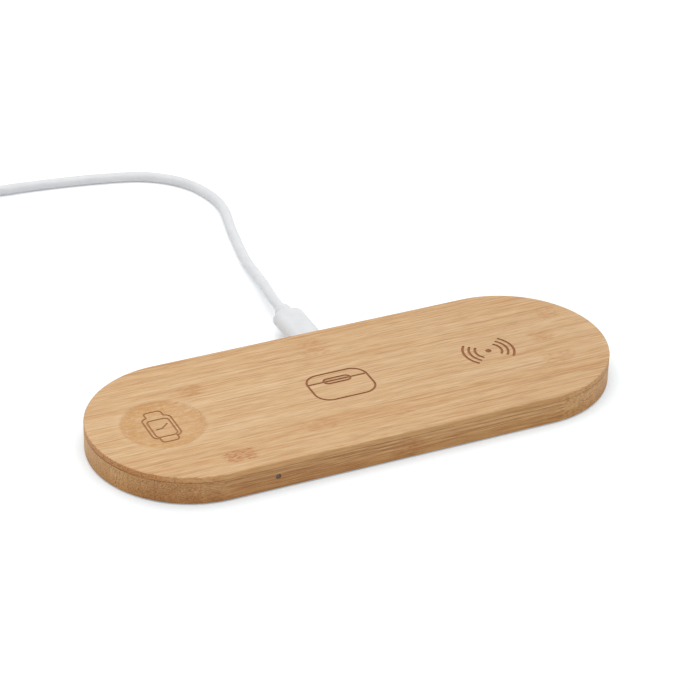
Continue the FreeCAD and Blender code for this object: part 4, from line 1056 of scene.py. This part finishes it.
# Bottom cover: a dark moulded plastic sheet with bosses for the circuit board. Six countersunk steel screws
# hold it in the frame's rebate, and four rubber feet are glued into shallow round recesses.
cover_plastic = moulded("cover_plastic", (58, 58, 60), (68, 68, 70), dullness=0.58, pebble=5.0, bump=0.5)
smooth_copy("cover_sheet", "bottom_cover", cover_plastic, "charger", "cover_plastic")
shank_rise, recess_below = 0.0008, 0.0003
set_screws("cover_screw_set", cover_screws, "cover_screws", {
    "Head Lower Radius": 0.0018, "Head Upper Radius": 0.00095, "Head Height": 0.001, "Head Start": pad_floor,
    "Shank Length": 0.0048, "Shank Start": pad_floor + shank_rise, "Recess Start": pad_floor - recess_below})
foot_rubber = moulded("foot_rubber", (40, 40, 41), (54, 54, 55), dullness=0.72, pebble=4.0, bump=0.7)
foot_radius, foot_round, foot_steps = 0.0045, 0.0002, 48
hollow_middle, hollow_depth, hollow_rim, foot_rim = 0.0012, 0.0001, 0.0012, 0.0009
sole = [(hollow_middle, hollow_depth), (foot_radius - hollow_rim, hollow_depth), (foot_radius - foot_rim, 0)]
for angle in bend(steps=6):
    sole.append((foot_radius - foot_round * (1 - math.sin(angle)), foot_round * (1 - math.cos(angle))))
for corner in ("front_left", "front_right", "back_left", "back_right"):
    foot_low, foot_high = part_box("foot_" + corner)
    foot_x = (foot_low.x + foot_high.x) / 2
    foot_y = (foot_low.y + foot_high.y) / 2
    foot_profile = sole + [(foot_radius, foot_high.z)]
    foot_rings = [round_ring(foot_x, foot_y, radius, z, foot_steps) for radius, z in foot_profile]
    foot = skin_of_rings("rubber_foot_" + corner, foot_rings)
    soften(foot, degrees=40)
    finish_piece(foot, foot_rubber, "charger", "foot_rubber", "foot_" + corner)


# Plug in the pad: a drawn steel shell with a black insert, and a white grip moulded round it. At the back the
# grip rounds off into a domed neck that guards the cord.
white_plastic = moulded("white_plastic", (225, 226, 228), (230, 231, 232), dullness=0.5, pebble=9.0, bump=0.2)
white_shader = white_plastic.node_tree.nodes["Principled BSDF"]
white_shader.inputs["Subsurface Weight"].default_value = 0.6
white_shader.inputs["Subsurface Radius"].default_value = (1, 1, 1)
white_shader.inputs["Subsurface Scale"].default_value = 0.0015
grip_low, grip_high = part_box("plug_grip")
front_round, front_steps = 0.0006, 6
back_round, back_drop, back_steps = 0.0014, 0.0001, 12
grip_half_width = (grip_high.x - grip_low.x) / 2
grip_half_height = (grip_high.z - grip_low.z) / 2
neck_shape = [
    (0.0001, 0.00316), (0.0004, 0.00311), (0.0008, 0.00314), (0.0014, 0.0032), (0.0024, 0.0032),
    (0.0031, 0.00318), (0.0038, 0.0031), (0.0044, 0.00296), (0.0049, 0.00276), (0.0053, 0.0025),
    (0.0056, 0.00227), (0.0058, 0.00206)]
neck_length = neck_shape[-1][0]
grip_back = grip_high.y - neck_length
grip_rings = []
for angle in bend(front_steps):
    inset = front_round * (1 - math.sin(angle))
    front = grip_low.y + front_round * (1 - math.cos(angle))
    half_height = grip_half_height - inset
    grip_rings.append(side_ring(grip_half_width - inset, half_height, half_height, 0, front, plug_height))
for angle in bend(back_steps):
    half_width = grip_half_width - back_round * (1 - math.cos(angle))
    half_height = grip_half_height - back_drop * (1 - math.cos(angle))
    shoulder = grip_back - back_round * (1 - math.sin(angle))
    grip_rings.append(side_ring(half_width, half_height, half_height, 0, shoulder, plug_height))


def moulded_grip(name, rings, x, back, z, node):
    neck = [side_circle(radius, x, back + along, z) for along, radius in neck_shape]
    grip = skin_of_rings(name, rings + neck)
    soften(grip, degrees=40)
    return finish_piece(grip, white_plastic, "lead", "cord_plastic", node)


plug_grip = moulded_grip("plug_grip_moulding", grip_rings, 0, grip_back, plug_height, "plug_grip")
plug_sleeve = smooth_copy("plug_sleeve", "plug_shell", connector_steel, "lead", "connector_steel")
plug_core = smooth_copy("plug_core", "plug_insert", contact_plastic, "lead", "contact_plastic")


# Far plug of the lead, for the wall charger: a folded steel shell with two latch windows, a white insert with
# four gold contacts, and a square-shouldered white grip with the same neck.
far_low, far_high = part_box("far_plug_grip")
far_x = (far_low.x + far_high.x) / 2
far_z = (far_low.z + far_high.z) / 2
far_half_width = (far_high.x - far_low.x) / 2
far_half_height = (far_high.z - far_low.z) / 2
far_back = far_high.y - neck_length
far_round, far_corner = 0.0008, 0.002
collar_half_width, collar_half_height, collar_corner = 0.0037, 0.0034, 0.0032
far_turns = bend(steps=6)
far_rings = []
for end, way, turns in ((far_low.y, 1, far_turns), (far_back, -1, reversed(far_turns))):
    for angle in turns:
        inset = far_round * (1 - math.sin(angle))
        half_width = far_half_width - inset
        half_height = far_half_height - inset
        along = end + way * far_round * (1 - math.cos(angle))
        far_rings.append(side_ring(half_width, half_height, far_corner, far_x, along, far_z))
far_rings.append(side_ring(collar_half_width, collar_half_height, collar_corner, far_x, far_back, far_z))
far_grip = moulded_grip("far_grip_moulding", far_rings, far_x, far_back, far_z, "far_plug_grip")
far_sleeve = smooth_copy("far_sleeve", "far_plug_shell", connector_steel, "lead", "connector_steel")
insert_plastic = moulded("insert_plastic", (222, 221, 216), (234, 233, 229), dullness=0.42, pebble=8.0,
                         bump=0.2)
dress("far_plug_insert", insert_plastic)
dress("far_plug_contacts", contact_gold)


# Tie round the put-away length: a narrow strap of woven hook-and-loop tape, wrapped once round three turns
# above and two below and pulled close, so that its sides slope in. Its end is pressed onto itself on top and
# lies double.
tie_low, tie_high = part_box("cord_tie")
tie_thickness = 0.0005
tie_bend = 0.0027
tie_edge = 0.0002
tie_rounding = 0.3
tie_steps = 8
upper_inset = 0.0031
lower_inset = 0.00535
slope = 26.6
end_reach = 0.0075
end_edge = 0.0003
end_pressed = 0.98
end_lift = tie_thickness * end_pressed
upper_z = tie_high.z - tie_bend
lower_z = tie_low.z + tie_bend
tie_bends = [
    (tie_high.x - upper_inset, upper_z, -slope, 90),
    (tie_low.x + upper_inset, upper_z, 90, 180 + slope),
    (tie_low.x + lower_inset, lower_z, 180 + slope, 270),
    (tie_high.x - lower_inset, lower_z, 270, 360 - slope),
]
tie_loop = []
for bend_x, bend_z, begin, end in tie_bends:
    for angle in bend(tie_steps, begin, end):
        tie_loop.append((Vector((bend_x, bend_z)), Vector((math.cos(angle), math.sin(angle)))))


def strap_band(name, loop, closed, lift, edge):
    near, far = -tie_rounding, tie_rounding - 1
    outline = [
        (0, tie_low.y + edge), (0, tie_high.y - edge), (near, tie_high.y), (far, tie_high.y),
        (-1, tie_high.y - edge), (-1, tie_low.y + edge), (far, tie_low.y), (near, tie_low.y)]
    shape = bmesh.new()
    rows = []
    for centre, outward in loop:
        row = []
        for depth, y in outline:
            spot = centre + outward * (tie_bend + lift + depth * tie_thickness)
            row.append(shape.verts.new((spot.x, y, spot.y)))
        rows.append(row)
    for one, other in zip(rows, rows[1:]):
        join_rows(shape, one, other)
    if closed:
        join_rows(shape, rows[-1], rows[0])
    else:
        shape.faces.new(list(reversed(rows[0])))
        shape.faces.new(rows[-1])
    return object_of(name, shape)


cord_tie = strap_band("tie_strap", tie_loop, closed=True, lift=0, edge=tie_edge)
top_run = []
for share in (0, 0.2, 0.5, 0.8, 1):
    top_run.append((Vector((tie_high.x - upper_inset - share * end_reach, upper_z)), Vector((0, 1))))
tie_end = strap_band("tie_end", top_run, closed=False, lift=end_lift, edge=end_edge)
carve(cord_tie, [tie_end], operation="UNION")
soften(cord_tie, degrees=35)
tie_fabric, shader, place, _ = new_material("tie_fabric")
thread = axes_of(place)
thread_turn = 16.0
warp = calc("SINE", times(thread["Y"], thread_turn))
weft = calc("SINE", times(calc("ADD", thread["X"], thread["Z"]), thread_turn))
weave = calc("MULTIPLY_ADD", times(warp, weft), 0.5, 0.5)
fuzz = stretched_noise(place, stretch=(5, 5, 5), detail=3.0)
tie_tone = mix(times(weave, fuzz), tone(184, 184, 186), tone(224, 224, 225))
surface(shader, tie_tone, ramp(fuzz, 0.3, 0.7, 0.8, 0.95), weave, bump=0.8, depth=0.0001)
shader.inputs["Sheen Weight"].default_value = 0.3
finish_piece(cord_tie, tie_fabric, "lead", "tie_fabric", "cord_tie")


# Cord of the lead: a soft white plastic tube four millimetres thick and about a metre long. It leaves the
# plug straight, sinks to the table, runs back and turns left; the rest is wound up in two layers.
cord_diameter = 0.004
cord_exit = (0, grip_high.y, plug_height)
straight_run = 0.008
cord_route = [
    (0.0021, 0.0849, 0.0056), (0.0035, 0.0957, 0.0039), (0.0049, 0.109, 0.0025), (0.0074, 0.123, 0.002),
    (0.0103, 0.1382, 0.002), (0.014, 0.1524, 0.002), (0.0139, 0.1643, 0.002), (0.0087, 0.18, 0.002),
    (-0.0051, 0.1922, 0.002), (-0.027, 0.1975, 0.002), (-0.052, 0.2013, 0.002),
]
coil_x = -0.109
coil_y = 0.175
coil_low = 0.0027
coil_step = 0.0045
coil_inner = 0.016
coil_approach = (0.03, 0.004)
quarters_inward, quarters_outward = 10, 11
coil_start = coil_inner + coil_step * quarters_inward / 4
coil_end = coil_inner + coil_step * quarters_outward / 4
marks_per_turn = 24
climb_start, climb_quarters = 9, 2
cord_points = [cord_exit, (0, cord_exit[1] + straight_run, plug_height)] + cord_route
cord_points += [(coil_x + ahead, coil_y + coil_start, coil_low) for ahead in coil_approach]
for mark in range(1, marks_per_turn * (quarters_inward + quarters_outward) // 4):
    quarter_turn = mark * 4 / marks_per_turn
    angle = math.radians(90 + 90 * quarter_turn)
    radius = coil_inner + coil_step * abs(quarter_turn - quarters_inward) / 4
    radius = radius / math.cos(math.pi / marks_per_turn)
    climb = min(max((quarter_turn - climb_start) / climb_quarters, 0), 1)
    height = coil_low + coil_step * climb * climb * (3 - 2 * climb)
    cord_points.append((coil_x + radius * math.cos(angle), coil_y + radius * math.sin(angle), height))
tail_x = coil_x - coil_end
tail_top = coil_low + coil_step
tail = [(0, tail_top), (0.007, tail_top), (0.017, far_z), (0.024, far_z), (0.028, far_z)]
for back, height in tail:
    cord_points.append((tail_x, coil_y - back, height))
cord_line = smooth_line("cord", cord_points, fineness=6)
cord_line.bevel_depth = cord_diameter / 2
cord_line.bevel_resolution = 6
cord_line.use_fill_caps = True
cord = new_object("cord", cord_line)
finish_piece(cord, white_plastic, "lead", "cord_plastic", "cord_run", "cord_coil")


# Floor: a large sheet of white paper that the pad and its lead lie on. It takes their soft shadow, and where
# the camera or a reflection sees it, it is lifted towards plain white.
floor_half = 3
floor_mesh = bpy.data.meshes.new("floor")
floor_corners = [(sx * floor_half, sy * floor_half, 0) for sx, sy in ((-1, -1), (1, -1), (1, 1), (-1, 1))]
floor_mesh.from_pydata(floor_corners, [], [(0, 1, 2, 3)])
floor = new_object("floor", floor_mesh)


def seen_part(tree_nodes):
    path = tree_nodes.new("ShaderNodeLightPath").outputs
    reflected = calc("MAXIMUM", path["Is Glossy Ray"], path["Is Transmission Ray"])
    return calc("MAXIMUM", path["Is Camera Ray"], reflected)


# Painted tint: near the pad the lift is cooler, which cools the pad's shadow against the warm light the wood
# throws on the paper
painted_cool_lift = (0.7, 0.9, 1, 1)
back_lift = (0.97, 0.98, 1, 1)
white_paper = bpy.data.materials.new("white_paper")
paper_nodes = empty_tree(white_paper)
paper = paper_nodes.new("ShaderNodeBsdfDiffuse")
paper.inputs["Color"].default_value = (0.92, 0.93, 0.94, 1)
seen = seen_part(paper_nodes)
place, _ = object_place(paper_nodes)
lift_colour = mix(ramp(axes_of(place)["Y"], 36, 60), painted_cool_lift, back_lift)
lift_strength = ramp(vector("LENGTH", place)["Value"], 450, 1500, 0.245, 1.3)
lift_strength = times(seen, lift_strength)
lift = add("ShaderNodeEmission", {"Color": lift_colour, "Strength": lift_strength})
both = add("ShaderNodeAddShader", {0: paper.outputs[0], 1: lift.outputs[0]})
add("ShaderNodeOutputMaterial", {"Surface": both.outputs[0]})
floor_mesh.materials.append(white_paper)


# Studio round the pad: plain white walls far away. They light the pad from all sides at a low level, and the
# camera and reflections see them as white.
world = bpy.data.worlds.new("studio")
scene.world = world
wall_light, wall_seen = 0.4, 1.0
glow_level = {"Value": seen_part(empty_tree(world)), "To Min": wall_light, "To Max": wall_seen}
glow_level = add("ShaderNodeMapRange", glow_level).outputs[0]
glow = add("ShaderNodeBackground", {"Color": white, "Strength": glow_level})
add("ShaderNodeOutputWorld", {"Surface": glow.outputs[0]})


# Softboxes: two lamps behind large white cloths. The main one hangs over the pad, and a weaker, cooler one
# stands at its phone end.
def soft_lamp(name, place, target, width, height, power, colour):
    lamp = bpy.data.lights.new(name, "AREA")
    lamp.shape = "RECTANGLE"
    lamp.size = width
    lamp.size_y = height
    lamp.energy = power
    lamp.color = colour
    holder = new_object(name, lamp)
    holder.location = place
    holder.rotation_euler = (Vector(target) - Vector(place)).to_track_quat("-Z", "Y").to_euler()


lit_spot = (0, 0.05, 0)
soft_lamp("key_softbox", (-0.12, 0.1, 1.5), lit_spot, width=1.7, height=1.7, power=18, colour=(1, 1, 1))
soft_lamp("side_softbox", (1.6, 0.1, 0.7), lit_spot, width=1.0, height=0.8, power=3.1, colour=(0.86, 1, 1.08))
